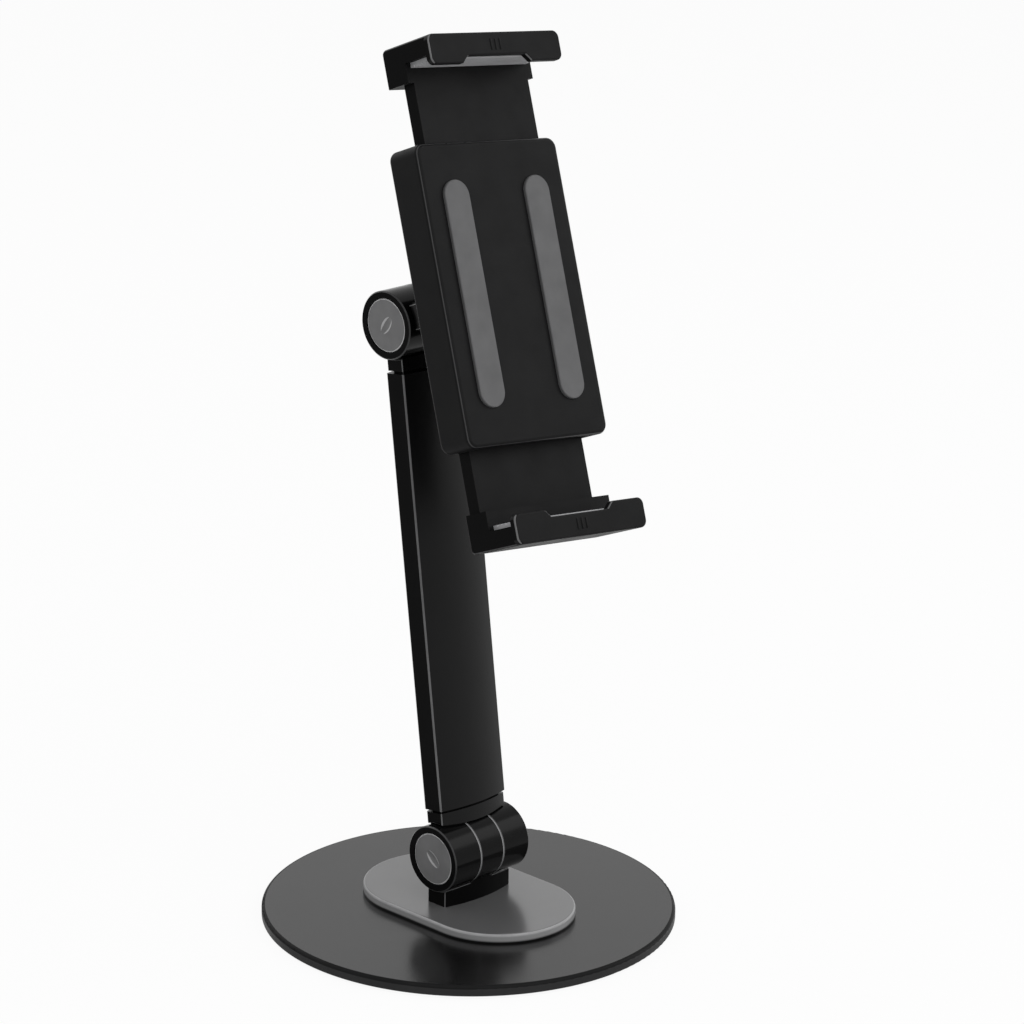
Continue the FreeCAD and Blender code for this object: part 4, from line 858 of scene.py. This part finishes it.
def add_leg(wire, start, end):
    """The straight end of the wire between two points."""
    bpy.ops.object.select_all(action="DESELECT")
    along = end - start
    bpy.ops.mesh.primitive_cylinder_add(
        vertices=WIRE_SIDES, radius=wire / 2, depth=along.length, location=(start + end) / 2,
        rotation=along.to_track_quat("Z", "Y").to_euler())
    return bpy.context.active_object


def add_eye(inner, wire, place, turn):
    """The ring that the wire's end is bent to."""
    bpy.ops.object.select_all(action="DESELECT")
    bpy.ops.mesh.primitive_torus_add(
        major_radius=inner + wire / 2, minor_radius=wire / 2,
        major_segments=EYE_STEPS, minor_segments=WIRE_SIDES, location=place, rotation=turn)
    return bpy.context.active_object


class HOLDER_OT_springs(bpy.types.Operator):
    """Wind the two springs, each from its post in the housing to the pin in its jaw"""
    bl_idname = "holder.springs"
    bl_label = "Wind the springs"

    def execute(self, context):
        for jaw in JAWS:
            self.wind(jaw, jaw.replace("jaw", "spring"), context.scene.holder_spring)
        return {"FINISHED"}

    def wind(self, jaw, node, sizes):
        """A spring that hangs on its post at the origin, drawn along Y, and then put in place."""
        low, high = clamp_span(node)
        wire = sizes.wire
        radius = (high.x - low.x) / 2
        anchor_reach = sizes.anchor_eye + wire
        pin_reach = sizes.pin_eye + wire
        length = high.y - low.y - anchor_reach - pin_reach
        start = Vector((0, anchor_reach + radius, 0))
        end = Vector((0, length - pin_reach - radius, 0))
        side = Vector((radius - wire / 2, 0, 0))
        spring = join_pieces([
            add_coil(radius, wire, sizes.turns, start.y, end.y),
            add_leg(wire, Vector((0, anchor_reach - wire / 2, 0)), start + side),
            add_leg(wire, Vector((0, length - pin_reach + wire / 2, 0)), end + side),
            add_eye(sizes.anchor_eye, wire, (0, 0, 0), (0, 0, 0)),
            add_eye(sizes.pin_eye, wire, (0, length, 0), (0, math.pi / 2, 0)),
        ], node + "_wire", "turned_steel")
        middle = (low + high) / 2
        post = low.y + anchor_reach if jaw == "upper_jaw" else high.y - anchor_reach
        place = clamp_matrix() @ Matrix.Translation((middle.x, post, middle.z))
        if jaw == "lower_jaw":
            place = place @ Matrix.Rotation(math.pi, 4, "Z")
        spring.data.transform(place)
        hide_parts(node)
        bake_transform(spring)


# Stage

def seen_directly(nodes, links):
    """1 for rays from the camera, and for those that are mirrored or pass through clear parts."""
    path = nodes.new("ShaderNodeLightPath")
    seen = path.outputs["Is Camera Ray"]
    for ray in ("Is Glossy Ray", "Is Transmission Ray"):
        either = nodes.new("ShaderNodeMath")
        either.operation = "MAXIMUM"
        links.new(seen, either.inputs[0])
        links.new(path.outputs[ray], either.inputs[1])
        seen = either.outputs["Value"]
    return seen


def floor_material(colour):
    """A pale floor that reads as plain white to the camera and still takes the soft shadow."""
    material = bpy.data.materials.new("pale_floor")
    material.use_nodes = True
    nodes = material.node_tree.nodes
    links = material.node_tree.links
    nodes.clear()
    output = nodes.new("ShaderNodeOutputMaterial")
    shader = nodes.new("ShaderNodeBsdfDiffuse")
    shader.inputs["Color"].default_value = (*colour, 1)
    glow = nodes.new("ShaderNodeEmission")
    glow.inputs["Color"].default_value = (1, 1, 1, 1)
    glow.inputs["Strength"].default_value = 1.0
    share = nodes.new("ShaderNodeMath")
    share.operation = "MULTIPLY"
    share.inputs[1].default_value = FLOOR_WHITE
    links.new(seen_directly(nodes, links), share.inputs[0])
    mix = nodes.new("ShaderNodeMixShader")
    links.new(share.outputs["Value"], mix.inputs["Fac"])
    links.new(shader.outputs["BSDF"], mix.inputs[1])
    links.new(glow.outputs["Emission"], mix.inputs[2])
    links.new(mix.outputs["Shader"], output.inputs["Surface"])
    return material


def add_floor(stage):
    bpy.ops.object.select_all(action="DESELECT")
    bpy.ops.mesh.primitive_circle_add(
        vertices=FLOOR_SIDES, radius=stage.floor_radius, fill_type="NGON")
    floor = bpy.context.active_object
    floor.name = "floor"
    floor.data.materials.append(floor_material(stage.floor_colour))


def add_lamp(name, power, size, place):
    """An oblong soft lamp that faces the holder."""
    data = bpy.data.lights.new(name, "AREA")
    data.shape = "RECTANGLE"
    data.size, data.size_y = size
    data.energy = power
    lamp = bpy.data.objects.new(name, data)
    bpy.context.scene.collection.objects.link(lamp)
    lamp.location = place
    direction = Vector(LAMP_TARGET) - Vector(place)
    lamp.rotation_euler = direction.to_track_quat("-Z", "Y").to_euler()


def set_world(ambient):
    """White to the camera and in reflections, and a plain soft light for everything else."""
    world = bpy.data.worlds.new("studio")
    bpy.context.scene.world = world
    world.use_nodes = True
    nodes = world.node_tree.nodes
    links = world.node_tree.links
    nodes.clear()
    output = nodes.new("ShaderNodeOutputWorld")
    background = nodes.new("ShaderNodeBackground")
    strength = nodes.new("ShaderNodeMapRange")
    strength.inputs["To Min"].default_value = ambient
    strength.inputs["To Max"].default_value = 1.0
    links.new(seen_directly(nodes, links), strength.inputs["Value"])
    links.new(strength.outputs["Result"], background.inputs["Strength"])
    background.inputs["Color"].default_value = (1, 1, 1, 1)
    links.new(background.outputs["Background"], output.inputs["Surface"])


def add_camera():
    data = bpy.data.cameras.new("camera")
    data.lens = CAMERA_LENS
    data.sensor_width = CAMERA_SENSOR
    data.clip_end = CAMERA_REACH
    camera = bpy.data.objects.new("camera", data)
    bpy.context.scene.collection.objects.link(camera)
    turn = Matrix((CAMERA_RIGHT, CAMERA_UP, CAMERA_BACK)).transposed().to_4x4()
    camera.matrix_world = Matrix.Translation(CAMERA_PLACE) @ turn
    bpy.context.scene.camera = camera


class HOLDER_OT_stage(bpy.types.Operator):
    """Set the floor, the lamps, the background and the camera"""
    bl_idname = "holder.stage"
    bl_label = "Set the stage"

    def execute(self, context):
        stage = context.scene.holder_stage
        add_floor(stage)
        for name, (size, place) in LAMPS.items():
            add_lamp(name, getattr(stage, name + "_power"), size, place)
        set_world(stage.ambient)
        add_camera()
        context.scene.view_settings.view_transform = "Standard"
        return {"FINISHED"}


class HOLDER_PT_panel(bpy.types.Panel):
    """Lists the steps that dress the arm holder"""
    bl_label = "Arm holder"
    bl_space_type = "VIEW_3D"
    bl_region_type = "UI"
    bl_category = "Arm holder"

    def draw(self, context):
        for step in STEPS:
            self.layout.operator(step.bl_idname)
        for group in GROUPS:
            owner = getattr(context.scene, group)
            for key in owner.__annotations__:
                self.layout.prop(owner, key)


GROUPS = {
    "holder_finish": HolderFinish,
    "holder_grip": HolderGrip,
    "holder_spring": HolderSpring,
    "holder_stage": HolderStage,
}
STEPS = (
    HOLDER_OT_finish_base,
    HOLDER_OT_finish_arm,
    HOLDER_OT_finish_clamp,
    HOLDER_OT_finish_hardware,
    HOLDER_OT_lip_grips,
    HOLDER_OT_springs,
    HOLDER_OT_stage,
)


def register():
    for kind in (*GROUPS.values(), *STEPS, HOLDER_PT_panel):
        bpy.utils.register_class(kind)
    for name, kind in GROUPS.items():
        setattr(bpy.types.Scene, name, bpy.props.PointerProperty(type=kind))


def unregister():
    for name in GROUPS:
        delattr(bpy.types.Scene, name)
    for kind in (HOLDER_PT_panel, *reversed(STEPS), *reversed(list(GROUPS.values()))):
        bpy.utils.unregister_class(kind)


def main():
    register()
    bpy.ops.holder.finish_base()
    bpy.ops.holder.finish_arm()
    bpy.ops.holder.finish_clamp()
    bpy.ops.holder.finish_hardware()
    bpy.ops.holder.lip_grips()
    bpy.ops.holder.springs()
    bpy.ops.holder.stage()


if __name__ == "__main__":
    main()
